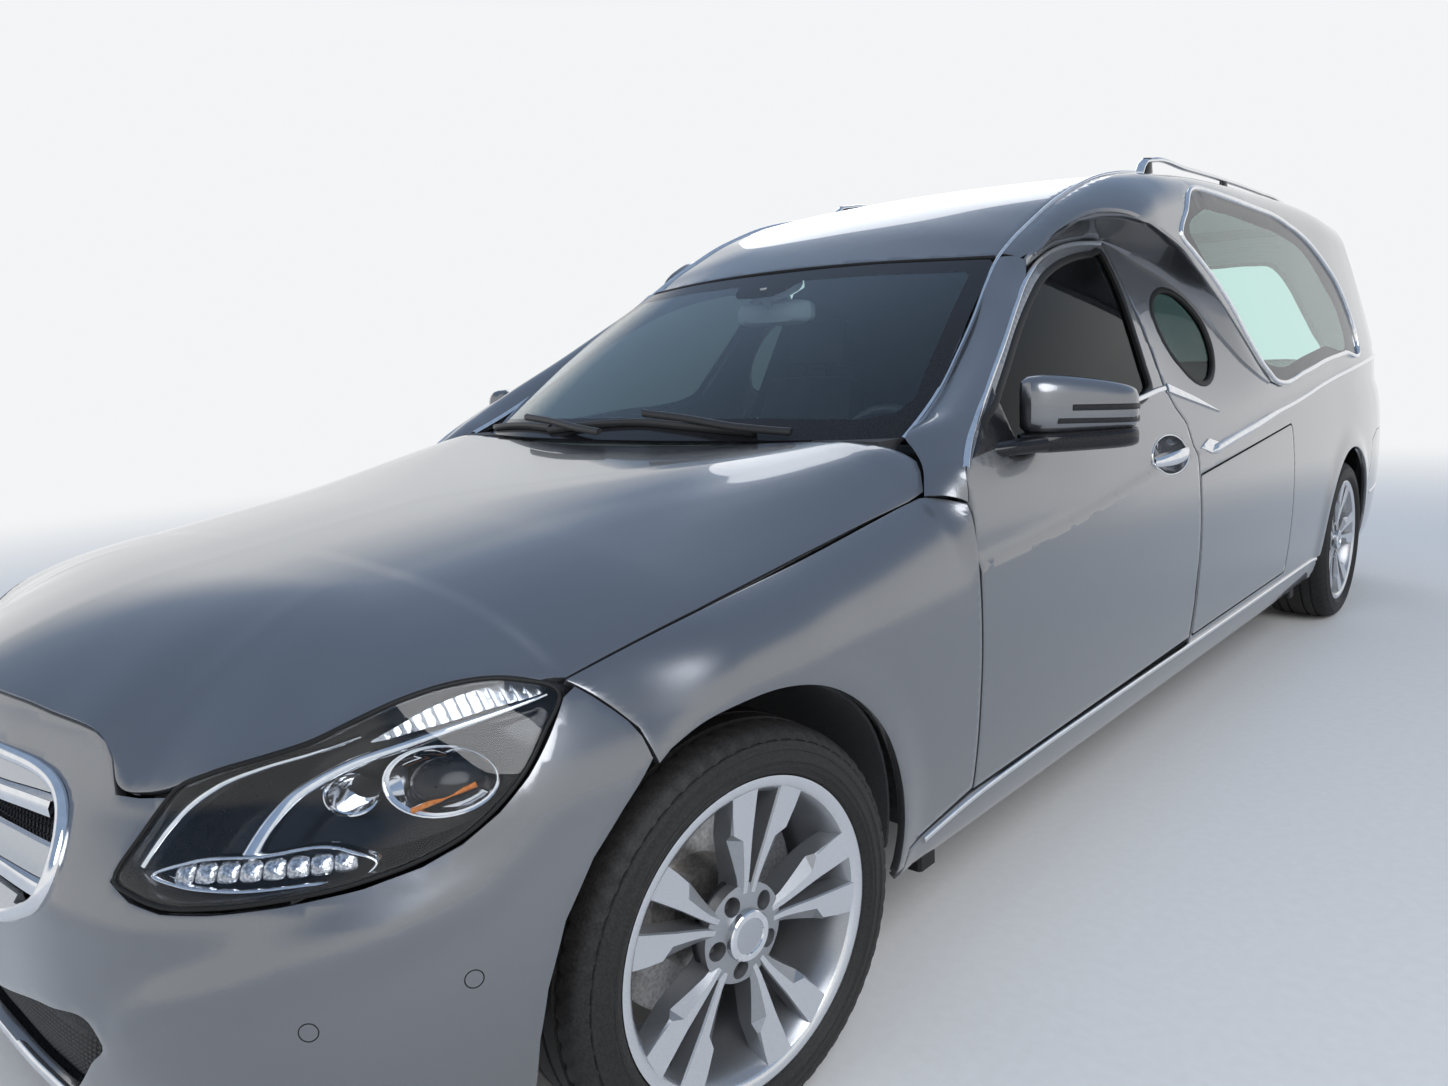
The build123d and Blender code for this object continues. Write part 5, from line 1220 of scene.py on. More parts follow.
# Load windows: large panes with a printed dark border in a bright frame, small oval panes behind the
# doors, and one step of pale lining round the inside of each large opening.
load_tint = new_glass("load_glass_tint", (0.72, 0.93, 0.88), 1.3)
lining = grained("stepped_lining", (0.62, 0.80, 0.76), 0.6, 0.0, 120.0, (0.58, 0.77, 0.73),
                 (0.66, 0.84, 0.80), 0.15, 0.0005)
clear_window = through([(2.383, 1.554), (2.239, 1.484), (2.290, 1.426), (2.405, 1.318), (2.526, 1.205),
                        (2.665, 1.098), (2.809, 1.067), (2.883, 1.064), (3.181, 1.091), (3.517, 1.120),
                        (3.901, 1.150), (3.885, 1.246), (3.753, 1.360), (3.543, 1.482), (3.292, 1.528),
                        (2.925, 1.552), (2.596, 1.565)], 0.014)
waist_line = [(2.030, 0.856), (2.189, 0.871), (2.45, 0.893), (2.723, 0.917), (3.018, 0.938),
              (3.438, 0.979), (4.063, 1.030), (4.356, 1.047), (4.62, 1.058)]
for side, mirror in SIDES:
    edge_band = pressing("load_glass_border_" + side, inward(outer_surface, 0.006), window_hole,
                         [clear_window], 0.02, 0.004, (1, 0, 0), edge=0, mirror=mirror)
    finish_piece(edge_band, "body", with_left(side, "load_glass"), gloss_black)
    pane = pressing("load_pane_" + side, inward(outer_surface, 0.006), clear_window, [], 0.03, 0.004,
                    (1, 0, 0), edge=0, mirror=mirror)
    finish_piece(pane, "body", [], load_tint)
    oval_pane = pressing("oval_pane_" + side, inward(side_surface, 0.008), oval_loop, [], 0.02, 0.004,
                         (1, 0, 0), edge=0, mirror=mirror)
    finish_piece(oval_pane, "body", [], dark_tint)
    oval_seal = trim_on("oval_seal_" + side, side_surface, oval_loop, half_round(0.018, 0.003, 0.012),
                        mirror=mirror, closed=True)
    finish_piece(oval_seal, "body", [], rubber)
    bright = [trim_on("window_frame_" + side, outer_surface, window_hole,
                      half_round(0.016, 0.006, 0.010), mirror=mirror, closed=True)]
    waist = curve(waist_line, 0.015)
    swell = np.clip(1.5 - (waist[:, 0] - 2.03) / 0.9, 0.62, 1.0)
    swell = swell * np.clip((waist[:, 0] - 2.02) / 0.04, 0.25, 1)
    profiles = np.array([[(a * k, b * k) for a, b in half_round(0.026, 0.014, 0.004)] for k in swell])
    bright.append(trim_on("waist_strip_" + side, side_surface, waist, profiles, mirror=mirror))
    bezel = dense([(1.957, 0.873), (2.045, 0.892), (2.118, 0.876), (2.035, 0.850)], 0.006)
    bright.append(pressing("waist_bezel_" + side, inward(side_surface, -0.004), bezel, [], 0.01, 0.006,
                           (1, 0, 0), edge=0.002, mirror=mirror))
    fin = dense([(1.884, 1.056), (1.872, 1.034), (1.93, 1.020), (2.196, 0.958), (2.03, 1.014)], 0.006)
    bright.append(pressing("belt_fin_" + side, inward(side_surface, -0.005), fin, [], 0.01, 0.007,
                           (1, 0, 0), edge=0.002, mirror=mirror))
    sill_line = curve([(0.478, 0.281), (0.65, 0.300), (0.90, 0.309), (1.285, 0.312), (2.02, 0.311),
                       (3.36, 0.316)], 0.02)
    path = side_surface(sill_line[:, 0], sill_line[:, 1])
    out = surface_normal(side_surface, sill_line[:, 0], sill_line[:, 1])
    bright.append(strip("sill_bright_" + side, path + np.array((0.001, 0, 0)), out,
                        half_round(0.014, 0.005, 0.004), mirror=mirror))
    pillar_trim = curve([(0.722, 0.706, 1.000), (0.7115, 0.788, 1.035), (0.6955, 0.895, 1.088),
                         (0.6705, 1.022, 1.167), (0.6475, 1.137, 1.244), (0.6245, 1.236, 1.316),
                         (0.6005, 1.362, 1.396), (0.5985, 1.440, 1.440), (0.5985, 1.548, 1.493),
                         (0.5985, 1.662, 1.545), (0.5985, 1.783, 1.589), (0.5985, 1.885, 1.621),
                         (0.5985, 2.10, 1.663), (0.5985, 2.30, 1.682)], 0.02)
    bright.append(strip("pillar_trim_" + side, pillar_trim + np.array((0.001, -0.001, 0.002)),
                        (0.35, -0.5, 0.8), half_round(0.009, 0.004, 0.006), mirror=mirror))
    finish_piece(join("body_brightwork_" + side, bright), "body", [], chrome)
    middle = np.array((3.05, 1.30))
    loop_out = middle + (window_hole - middle) * 1.05
    loop_in = middle + (window_hole - middle) * 0.99
    near = inward(outer_surface, 0.018)(loop_out[:, 0], np.clip(loop_out[:, 1], 0, 1.60))
    far = inward(outer_surface, 0.018)(loop_in[:, 0], loop_in[:, 1])
    deep = inward(outer_surface, 0.048)(loop_in[:, 0], loop_in[:, 1])
    rows = [[a, (a + b) / 2, b, c] for a, b, c in zip(near, far, deep)]
    step = loft("window_lining_" + side, rows, 0.004, (1, 0, 0), mirror=mirror, closed=True)
    finish_piece(step, "body", [], lining)

# Wheels: cast alloy rims with five pairs of machined spokes, low tyres with a grooved tread, and steel
# discs.
machined = grained("machined_alloy", (0.72, 0.73, 0.75), 0.24, 1.0, 700.0, (0.66, 0.67, 0.69),
                   (0.78, 0.79, 0.81), 0.06, 0.0002)
cast_grey = grained("painted_alloy", (0.36, 0.37, 0.385), 0.33, 0.8, 800.0, (0.32, 0.33, 0.345),
                    (0.40, 0.41, 0.43), 0.1, 0.0003)
tyre_black = new_material("tyre_rubber", (0.016, 0.015, 0.014), 0.58)
shader_value(tyre_black, Specular_IOR_Level=0.3)
grain(tyre_black, 260.0, (0.012, 0.011, 0.011), (0.024, 0.023, 0.022), 0.3, 0.0004)
disc_steel = grained("disc_steel", (0.42, 0.41, 0.40), 0.35, 0.9, 150.0, (0.34, 0.32, 0.30),
                     (0.50, 0.49, 0.48), 0.15, 0.0004)


def revolve(profile, count, bite=None):
    """Rings of points round the wheel's axle from a profile of across and radius."""
    rows = []
    for index in range(count):
        angle = 2 * math.pi * index / count
        line = []
        for across, radius in profile:
            if bite is not None:
                radius = bite(index, across, radius)
            line.append((across, radius * math.sin(angle), radius * math.cos(angle)))
        rows.append(line)
    return np.array(rows)


def ring_faces(count, size):
    faces = []
    for i in range(count):
        for j in range(size):
            a, b = i * size, (i + 1) % count * size
            faces.append((a + j, a + (j + 1) % size, b + (j + 1) % size, b + j))
    return faces


def tread_bite(index, across, radius):
    if radius > 0.316 and 0.062 < abs(across) and (index + int(abs(across) * 120)) % 4 == 0:
        return radius - 0.0045
    if 0.300 < radius < 0.318 and abs(across) > 0.100 and index % 4 == 0:
        return radius - 0.0035
    return radius


tyre_half = [(0.0, 0.3235), (0.024, 0.3234), (0.0245, 0.3165), (0.033, 0.3165), (0.0335, 0.3233),
             (0.060, 0.3228), (0.0605, 0.316), (0.069, 0.316), (0.0695, 0.3222), (0.090, 0.3205),
             (0.103, 0.3165), (0.1105, 0.3090), (0.1160, 0.3020), (0.1150, 0.2995), (0.1175, 0.2985),
             (0.1190, 0.2925), (0.1200, 0.2915), (0.1205, 0.286), (0.1195, 0.2850), (0.1218, 0.2735),
             (0.1226, 0.2725), (0.1228, 0.2690), (0.1216, 0.2680), (0.1215, 0.2655), (0.1224, 0.2645),
             (0.1222, 0.2605), (0.1205, 0.2595), (0.1175, 0.2525), (0.1125, 0.2475), (0.107, 0.2465)]
tyre_profile = [(-a, r) for a, r in tyre_half[::-1][:-1]] + tyre_half + [(0.107, 0.236), (-0.107, 0.236)]
rim_profile = [(0.1115, 0.2325), (0.1130, 0.2400), (0.1125, 0.2455), (0.1060, 0.2470), (0.1030, 0.2380),
               (0.05, 0.2340), (-0.10, 0.2340), (-0.1060, 0.2470), (-0.1125, 0.2470), (-0.112, 0.2280),
               (-0.09, 0.2120), (0.0, 0.2030), (0.06, 0.2070), (0.09, 0.2160), (0.1065, 0.2255)]
spoke_radii = (0.050, 0.085, 0.110, 0.147, 0.158, 0.190, 0.222, 0.234)
spoke_slot = (0.0015, 0.0040, 0.0075, 0.0133, 0.0148, 0.0185, 0.0222, 0.0230)
spoke_reach = (0.0150, 0.0250, 0.0365, 0.0555, 0.0585, 0.0665, 0.0745, 0.0770)
spoke_width = (0.0090, 0.0115, 0.0145, 0.0200, 0.0400, 0.0470, 0.0515, 0.0535)
spoke_face = (0.0890, 0.0925, 0.0950, 0.0990, 0.1000, 0.1040, 0.1080, 0.1105)
spoke_deep = (0.048, 0.046, 0.044, 0.040, 0.039, 0.036, 0.032, 0.026)
pair_angle = 12.0
bolt_circle = 0.056
bolt_radius = 0.0095
WHEELS = (("front_left", (0.794457, -2.080145), (0.994282, -0.106785), (0.106785, 0.994282)),
          ("front_right", (-0.794457, -2.059855), (-0.994282, 0.106785), (0.106785, 0.994282)),
          ("rear_left", (0.795, 1.72), (1.0, 0.0), (0.0, 1.0)),
          ("rear_right", (-0.795, 1.72), (-1.0, 0.0), (0.0, 1.0)))


def on_wheel(points, center, outward, back):
    points = np.asarray(points, float).reshape(-1, 3)
    result = np.zeros_like(points)
    result[:, 0] = center[0] + points[:, 0] * outward[0] + points[:, 1] * back[0]
    result[:, 1] = center[1] + points[:, 0] * outward[1] + points[:, 1] * back[1]
    result[:, 2] = wheel_z + points[:, 2]
    return result


def wheel_mesh(name, points, faces, wheel, angle=35):
    return face_out(mesh_piece(name, on_wheel(points, *wheel), faces), angle)


spoke_points = []
spoke_faces = []
spoke_machined = []
for pair in range(5):
    for hand in (-1, 1):
        angle = math.radians(pair_angle + 72 * pair)
        radial = np.array((0, math.sin(angle), math.cos(angle)))
        around = np.array((0, math.cos(angle), -math.sin(angle))) * hand
        start = len(spoke_points)
        for radius, near, far, width, face_x, deep in zip(spoke_radii, spoke_slot, spoke_reach,
                                                          spoke_width, spoke_face, spoke_deep):
            flat_end = near + width
            slope_x = face_x - 0.002 - 0.50 * (far - flat_end)
            for across, out in ((near, face_x - deep), (near, face_x - 0.003), (near + 0.002, face_x),
                                (flat_end, face_x), (far, slope_x), (far + 0.002, face_x - deep)):
                point = radial * radius + around * across
                spoke_points.append((out, point[1], point[2]))
        for section in range(len(spoke_radii) - 1):
            for j in range(6):
                a, b = start + section * 6, start + section * 6 + 6
                spoke_faces.append((a + j, a + (j + 1) % 6, b + (j + 1) % 6, b + j))
                spoke_machined.append(j == 2)
        last = start + (len(spoke_radii) - 1) * 6
        spoke_faces.append(tuple(start + j for j in range(6)))
        spoke_faces.append(tuple(last + j for j in range(6)))
        spoke_machined += [False, False]
hub_circle = ring(0, 0, 0.077, 0.077, 72)
bolt_holes = []
for pair in range(5):
    angle = math.radians(pair_angle + 36 + 72 * pair)
    bolt_holes.append(ring(bolt_circle * math.sin(angle), bolt_circle * math.cos(angle), 0.0150, 0.0150,
                           24))
hub_flat, hub_faces = cut_sheet(hub_circle, bolt_holes, 0.008)
hub_radius = np.hypot(hub_flat[:, 0], hub_flat[:, 1])
hub_points = np.stack([0.0935 - 0.006 * (hub_radius / 0.076) ** 3, hub_flat[:, 0], hub_flat[:, 1]], 1)
for wheel_name, center, outward, back in WHEELS:
    wheel = (center, outward, back)
    body_name = "wheel_" + wheel_name
    tyre_points = revolve(tyre_profile, 240, tread_bite)
    tyre = wheel_mesh(wheel_name + "_tyre_tread", tyre_points, ring_faces(240, len(tyre_profile)), wheel,
                      40)
    finish_piece(tyre, body_name, [wheel_name + "_tyre"], tyre_black)
    barrel = wheel_mesh(wheel_name + "_barrel", revolve(rim_profile, 120),
                        ring_faces(120, len(rim_profile)), wheel)
    barrel.data.materials.append(cast_grey)
    barrel.data.materials.append(machined)
    for index, polygon in enumerate(barrel.data.polygons):
        if index % len(rim_profile) in (0, 1, 2, 14):
            polygon.material_index = 1
    spokes = wheel_mesh(wheel_name + "_spokes", spoke_points, spoke_faces, wheel, 30)
    spokes.data.materials.append(cast_grey)
    spokes.data.materials.append(machined)
    for polygon, is_machined in zip(spokes.data.polygons, spoke_machined):
        polygon.material_index = 1 if is_machined else 0
    hub = mesh_piece(wheel_name + "_hub", on_wheel(hub_points, *wheel), hub_faces)
    hub_wall = hub.modifiers.new("wall", "SOLIDIFY")
    hub_wall.thickness = 0.03
    facing = Vector((outward[0], outward[1], 0))
    if hub.data.polygons[0].normal.dot(facing) < 0:
        hub.data.flip_normals()
    hub_wall.offset = -1
    hub = use_modifiers(hub)
    hub.data.materials.append(cast_grey)
    bolts = []
    for pair in range(5):
        angle = math.radians(pair_angle + 36 + 72 * pair)
        hex_points = []
        for across in (0.062, 0.076):
            for corner in range(6):
                turn = corner * math.pi / 3
                hex_points.append((across, bolt_circle * math.sin(angle) + bolt_radius * math.cos(turn),
                                   bolt_circle * math.cos(angle) + bolt_radius * math.sin(turn)))
        hex_faces = [(j, (j + 1) % 6, 6 + (j + 1) % 6, 6 + j) for j in range(6)]
        hex_faces += [tuple(range(6)), tuple(range(6, 12))]
        bolts.append(wheel_mesh(f"{wheel_name}_bolt_{pair}", hex_points, hex_faces, wheel, 30))
    plate = [(0.060, 0.001), (0.062, 0.074), (0.055, 0.075), (0.05, 0.02), (0.05, 0.001)]
    bolts.append(wheel_mesh(wheel_name + "_hub_plate", revolve(plate, 48), ring_faces(48, 5), wheel))
    bolts = join(wheel_name + "_bolts", bolts)
    bolts.data.materials.append(mesh_black)
    cap_profile = [(0.102, 0.0005), (0.1022, 0.022), (0.1015, 0.0270), (0.1035, 0.0280),
                   (0.1035, 0.0370), (0.1015, 0.0390), (0.095, 0.0400), (0.088, 0.0400), (0.088, 0.0005)]
    cap = wheel_mesh(wheel_name + "_cap", revolve(cap_profile, 60), ring_faces(60, len(cap_profile)),
                     wheel)
    cap.data.materials.append(satin_silver)
    cap.data.materials.append(chrome)
    for index, polygon in enumerate(cap.data.polygons):
        if index % len(cap_profile) in (2, 3, 4):
            polygon.material_index = 1
    rim = join(wheel_name + "_rim_dressed", [barrel, spokes, hub, bolts, cap])
    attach(rim, body_name)
    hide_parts(wheel_name + "_rim")

# Door mirrors: painted caps with two black slots, glass behind, on black feet at the door's front
# corner.
mirror_glass = grained("mirror_glass", (0.75, 0.78, 0.80), 0.02, 1.0, 5.0, (0.73, 0.76, 0.78),
                       (0.77, 0.80, 0.82))
mirror_root = np.array((0.868, 0.925))
mirror_reach = np.array((0.155, 0.215))
mirror_front = (0.66, -0.75, 0)
mirror_low = 0.990


def mirror_section(share, grow, low, high):
    """A rounded section across the mirror housing at a share of its length."""
    middle = mirror_root + share * mirror_reach
    forward = np.array(mirror_front[:2])
    end = max(1 - abs(2 * share - 1) ** 4.5, 0.0) ** 0.5
    half_deep = 0.060 * (0.35 + 0.65 * end) * grow
    mid_z = (low + high) / 2
    half_high = (high - low) / 2 * (0.74 + 0.26 * end) * grow
    points = []
    outline = squared(2 * math.pi * np.arange(28) / 28, 0.65, 0.6)
    for deep, tall in outline * np.array((half_deep, half_high)):
        if deep < 0:
            deep *= 0.35
        at = middle + forward * deep
        points.append((at[0], at[1], mid_z + tall))
    return points


def closed_shell(name, sections, mirror):
    """A shell through sections, closed at both ends."""
    first = [tuple(np.mean(sections[0], 0))] * len(sections[0])
    last = [tuple(np.mean(sections[-1], 0))] * len(sections[0])
    rows = np.array([first] + sections + [last])
    rows = np.concatenate([rows, rows[:, :1]], 1)
    return loft(name, rows, 0, mirror_front, mirror=mirror)


def cap_top(share):
    return 1.118 - 0.036 * share ** 1.6


for side, mirror in SIDES:
    cap = closed_shell("mirror_cap_" + side, [mirror_section(t, 1.0, mirror_low, cap_top(t))
                                              for t in np.linspace(0, 1, 25)], mirror)
    finish_piece(cap, "door_" + side, ["mirror_" + side], paint)
    base = closed_shell("mirror_base_" + side, [mirror_section(t, 0.97, 0.953, 1.001)
                                                for t in np.linspace(-0.02, 0.99, 21)], mirror)
    foot_path = [(0.835, 0.812, 0.968), (0.855, 0.832, 0.970), (0.880, 0.87, 0.973),
                 (0.915, 0.92, 0.976)]
    foot_shape = squared(np.linspace(0, 2 * math.pi, 25)[:-1], 0.6, 1.0) * np.array((0.034, 0.016))
    foot = strip("mirror_foot_" + side, foot_path, (0, 0, 1), foot_shape, mirror=mirror)
    sail = dense([(0.702, 0.966), (0.79, 1.022), (0.915, 1.094), (0.905, 0.985)], 0.01)
    sail = pressing("mirror_sail_" + side, inward(side_surface, -0.002), sail, [], 0.012, 0.012,
                    (1, 0, 0), mirror=mirror)
    finish_piece(join("mirror_base_" + side, [base, foot, sail]), "door_" + side, [],
                 gloss_black)
    glass_rows = []
    for t in np.linspace(0.10, 0.93, 15):
        middle = mirror_root + t * mirror_reach - np.array(mirror_front[:2]) * 0.0195
        top = cap_top(t) - 0.010
        inset = 0.010 * abs(2 * (t - 0.515) / 0.83) ** 6
        glass_rows.append([(middle[0], middle[1], z)
                           for z in np.linspace(1.000 + inset, top - inset, 7)])
    glass = loft("mirror_glass_" + side, glass_rows, 0.003, mirror_front, mirror=mirror)
    finish_piece(glass, "door_" + side, [], mirror_glass)
    slots = []
    for index, (first, last, height) in enumerate(((0.37, 0.985, 1.050), (0.25, 0.99, 1.024))):
        path = []
        for t in np.linspace(first, last, 14):
            section = np.array(mirror_section(t, 1.006, mirror_low, cap_top(t)))
            front = np.vstack([section[-8:], section[:8]])
            order = np.argsort(front[:, 2])
            path.append([np.interp(height - 0.010 * t, front[order, 2], front[order, axis])
                         for axis in range(3)])
        slots.append(strip(f"mirror_slot_{index}_{side}", path, mirror_front,
                           half_round(0.0125, 0.0012, 0.004), mirror=mirror))
    finish_piece(join("mirror_slots_" + side, slots), "door_" + side, [], gloss_black)

# Roof rails: bright oval tubes turned down at both ends on short dark feet.
for side, mirror in SIDES:
    rail_path = curve([(0.580, 2.335, 1.688), (0.580, 2.360, 1.720), (0.580, 2.44, 1.738),
                       (0.580, 2.75, 1.742), (0.580, 3.15, 1.7435), (0.580, 3.60, 1.737),
                       (0.580, 3.88, 1.728), (0.580, 3.965, 1.716), (0.580, 3.998, 1.682)], 0.03)
    rail = strip("roof_rail_" + side, rail_path, (0.25, 0, 1), tube(0.013, 0.0085, 16), mirror=mirror)
    finish_piece(rail, "body", with_left(side, "roof_rails"), chrome)
    feet = []
    for index, foot_y in enumerate((2.40, 3.17, 3.93)):
        top_z = 1.738 if index < 2 else 1.722
        base_z = float(smooth_line(foot_y, seam_y, seam_height)) + 0.001
        path = [(0.580, foot_y, base_z), (0.580, foot_y, (base_z + top_z) / 2), (0.580, foot_y, top_z)]
        shapes = [tube(0.034 * k, 0.012, 16) for k in (1.2, 0.9, 0.8)]
        feet.append(strip(f"rail_foot_{index}_{side}", path, (1, 0, 0), shapes, mirror=mirror))
    finish_piece(join("rail_feet_" + side, feet), "body", [], gloss_black)

# Seats: leather covered foam cushions, backs and head rests, with sewn channels, on the frames under
# them.
leather = grained("black_leather", (0.022, 0.022, 0.024), 0.42, 0.0, 420.0, (0.016, 0.016, 0.018),
                  (0.034, 0.034, 0.037), 0.5, 0.0006)
for side, hand in (("left", 1), ("right", -1)):
    for part, place, size, tilt, fill in (
        ("cushion", (0.39 * hand, -0.56, 0.49), (0.44, 0.46, 0.15), 6, 0.85),
        ("back", (0.39 * hand, -0.245, 0.80), (0.42, 0.13, 0.62), 20, 0.85),
        ("rest", (0.39 * hand, -0.105, 1.215), (0.25, 0.09, 0.16), 12, 0.9),
    ):
        bpy.ops.object.select_all(action="DESELECT")
        bpy.ops.mesh.primitive_cube_add(size=1, location=(0, 0, 0))
        pad = bpy.context.object
        pad.name = f"seat_{part}_{side}"
        bpy.ops.object.mode_set(mode="EDIT")
        bpy.ops.mesh.select_all(action="SELECT")
        bpy.ops.transform.resize(value=size)
        bpy.ops.mesh.subdivide(number_cuts=9)
        bpy.ops.object.mode_set(mode="OBJECT")
        for vertex in pad.data.vertices:
            x, y, z = vertex.co
            u, v, w = 2 * x / size[0], 2 * y / size[1], 2 * z / size[2]
            pull = 0.06
            swell = 1 - pull * (u * u + w * w if part != "cushion" else u * u + v * v) / 2
            channel = 0.006 * abs(math.sin(u * 5.2)) if part != "rest" else 0
            if part == "cushion":
                vertex.co.z = z * (0.82 + 0.18 * (1 - u * u) * (1 - v * v)) - (channel if w > 0.9 else 0)
                vertex.co.x = x * (1 - 0.05 * w * w)
                vertex.co.y = y * (1 - 0.05 * w * w)
            else:
                crowned = (1 - u * u) * (1 - w * w)
                vertex.co.y = y * (0.70 + 0.30 * crowned) + (channel if v < -0.9 else 0)
                vertex.co.x = x * swell * (1 - 0.10 * max(w, 0) ** 2)
                vertex.co.z = z * (1 - 0.03 * u * u)
        lean = Matrix.Rotation(math.radians(tilt if part == "cushion" else -tilt), 4, "X")
        pad.data.transform(Matrix.Translation(place) @ lean)
        round_edge = pad.modifiers.new("round_edge", "BEVEL")
        round_edge.width = 0.022
        round_edge.segments = 3
        round_edge.limit_method = "ANGLE"
        round_edge.angle_limit = math.radians(60)
        bend = pad.modifiers.new("soft", "SUBSURF")
        bend.levels = 1
        bend.render_levels = 1
        pad = use_modifiers(pad)
        bpy.ops.object.shade_smooth()
        finish_piece(pad, "body", ["seats"] if (part, side) == ("cushion", "left") else [],
                     leather)
    posts = []
    for shift in (-0.05, 0.05):
        post_x = 0.39 * hand + shift
        posts.append(strip(f"seat_post_{shift}_{side}", [(post_x, 1.915, 1.06), (post_x, 1.945, 1.17)],
                           (1, 0, 0), tube(0.006, 0.006, 12)))
    frame_base = strip("seat_base_" + side, [(0.39 * hand, 1.30, 0.36), (0.39 * hand, 1.72, 0.35)],
                       (0, 0, 1), [(0.19, -0.115), (0.20, 0.05), (0.16, 0.075), (-0.16, 0.075),
                                   (-0.20, 0.05), (-0.19, -0.115)])
    finish_piece(join("seat_frame_" + side, posts + [frame_base]), "body", [],
                 gloss_black)

# Tailgate: a pressed outer skin hinged at the roof, with a bonded glass, a blank plate in its recess and
# a bright strip over the plate. Its surface falls from the roof edge and turns down over the lamps.
middle_z = (0.64, 0.735, 0.95, 0.98, 1.035, 1.105, 1.24, 1.455, 1.665, 1.70)
tail_middle_y = (4.885, 4.88, 4.862, 4.842, 4.80, 4.742, 4.655, 4.502, 4.328, 4.298)
edge_low = np.array([(4.83, 0.64), (4.82, 0.735), (4.80, 0.95), (4.77, 0.98), (4.745, 1.035),
                     (4.688, 1.095)])
edge_high = np.array([(4.66, 1.15), (4.60, 1.24), (4.45, 1.455), (4.418, 1.50), (4.382, 1.55),
                      (4.354, 1.59), (4.332, 1.62), (4.311, 1.65), (4.300, 1.665)])
edge_places = np.vstack([side_surface(edge_low[:, 0], edge_low[:, 1]),
                         outer_surface(edge_high[:, 0], edge_high[:, 1]),
                         np.array([(0.59, 4.27, 1.70)])])
tail_edge_x, tail_edge_y, tail_z = edge_places[:, 0], edge_places[:, 1], edge_places[:, 2]


def tail_surface(x, z):
    edge_x = np.interp(z, tail_z, tail_edge_x)
    edge_y = np.interp(z, tail_z, tail_edge_y)
    middle_y = smooth_line(z, middle_z, tail_middle_y)
    share = np.clip(abs(x) / edge_x, 0, 1)
    return np.stack([x, edge_y + (middle_y - edge_y) * (1 - share**3.2), z], 1)


def tail_inner(depth):
    return shifted(tail_surface, (0, -depth, 0))


tailgate_half = [(0.0, 1.684), (0.30, 1.681), (0.50, 1.675), (0.575, 1.668)]
tailgate_half += [(float(np.interp(z, tail_z, tail_edge_x)) - 0.007, z)
                  for z in (1.66, 1.65, 1.635, 1.615, 1.59, 1.56, 1.52, 1.455, 1.35, 1.24, 1.15, 1.105,
                            1.06, 1.03, 1.012)]
tailgate_half += [(0.70, 1.008), (0.596, 1.003), (0.588, 0.99), (0.586, 0.80), (0.584, 0.70),
                  (0.575, 0.668), (0.55, 0.658), (0.0, 0.658)]
rear_hole = through(both_halves([(0.0, 1.545), (0.20, 1.544), (0.38, 1.540), (0.450, 1.527),
                                 (0.485, 1.490), (0.520, 1.400), (0.562, 1.280), (0.610, 1.140),
                                 (0.634, 1.065), (0.628, 1.038), (0.590, 1.026), (0.40, 1.024),
                                 (0.0, 1.024)]), 0.012)
rear_clear = through(both_halves([(0.0, 1.505), (0.20, 1.504), (0.34, 1.502), (0.415, 1.490),
                                  (0.447, 1.455), (0.477, 1.398), (0.520, 1.281), (0.560, 1.170),
                                  (0.592, 1.085), (0.588, 1.064), (0.56, 1.054), (0.40, 1.052),
                                  (0.0, 1.052)]), 0.012)
tailgate_skin = pressing("tailgate_skin", tail_surface, dense(both_halves(tailgate_half), 0.016),
                         [rear_hole], 0.02, 0.025, (0, 1, 0))
finish_piece(tailgate_skin, "tailgate", ["tailgate"], paint)
rear_border = pressing("rear_glass_border", tail_inner(0.005), rear_hole, [rear_clear], 0.02, 0.004,
                       (0, 1, 0), edge=0)
finish_piece(rear_border, "tailgate", ["tailgate_glass"], gloss_black)
rear_pane = pressing("rear_glass_pane", tail_inner(0.005), rear_clear, [], 0.03, 0.004, (0, 1, 0),
                     edge=0)
finish_piece(rear_pane, "tailgate", [], load_tint)
plate_loop = rounded([(-0.255, 0.735, 0.008), (0.255, 0.735, 0.008), (0.255, 0.845, 0.008),
                      (-0.255, 0.845, 0.008)], 0.012)
plate_white = grained("blank_plate", (0.78, 0.78, 0.76), 0.35, 0.0, 800.0, (0.74, 0.74, 0.72),
                      (0.82, 0.82, 0.80), 0.1, 0.0002)
plate = pressing("blank_plate", tail_inner(-0.007), plate_loop, [], 0.02, 0.003, (0, 1, 0), edge=0.001)
plate_rim = strip("blank_plate_rim", tail_inner(-0.008)(plate_loop[:, 0], plate_loop[:, 1]), (0, 1, 0),
                  half_round(0.004, 0.0015, 0.002), closed=True)
finish_piece(join("blank_plate", [plate, plate_rim]), "tailgate", [], plate_white)
tail_strip_path = tail_inner(-0.001)(np.linspace(-0.46, 0.46, 41), np.full(41, 0.895))
tail_bright = [strip("tailgate_strip", tail_strip_path, (0, 1, 0), half_round(0.022, 0.012, 0.004))]
tail_bright.append(trim_on("rear_glass_frame", tail_surface, rear_hole, half_round(0.008, 0.002, 0.006),
                           closed=True, side=-1))
finish_piece(join("tailgate_brightwork", tail_bright), "tailgate", [], chrome)

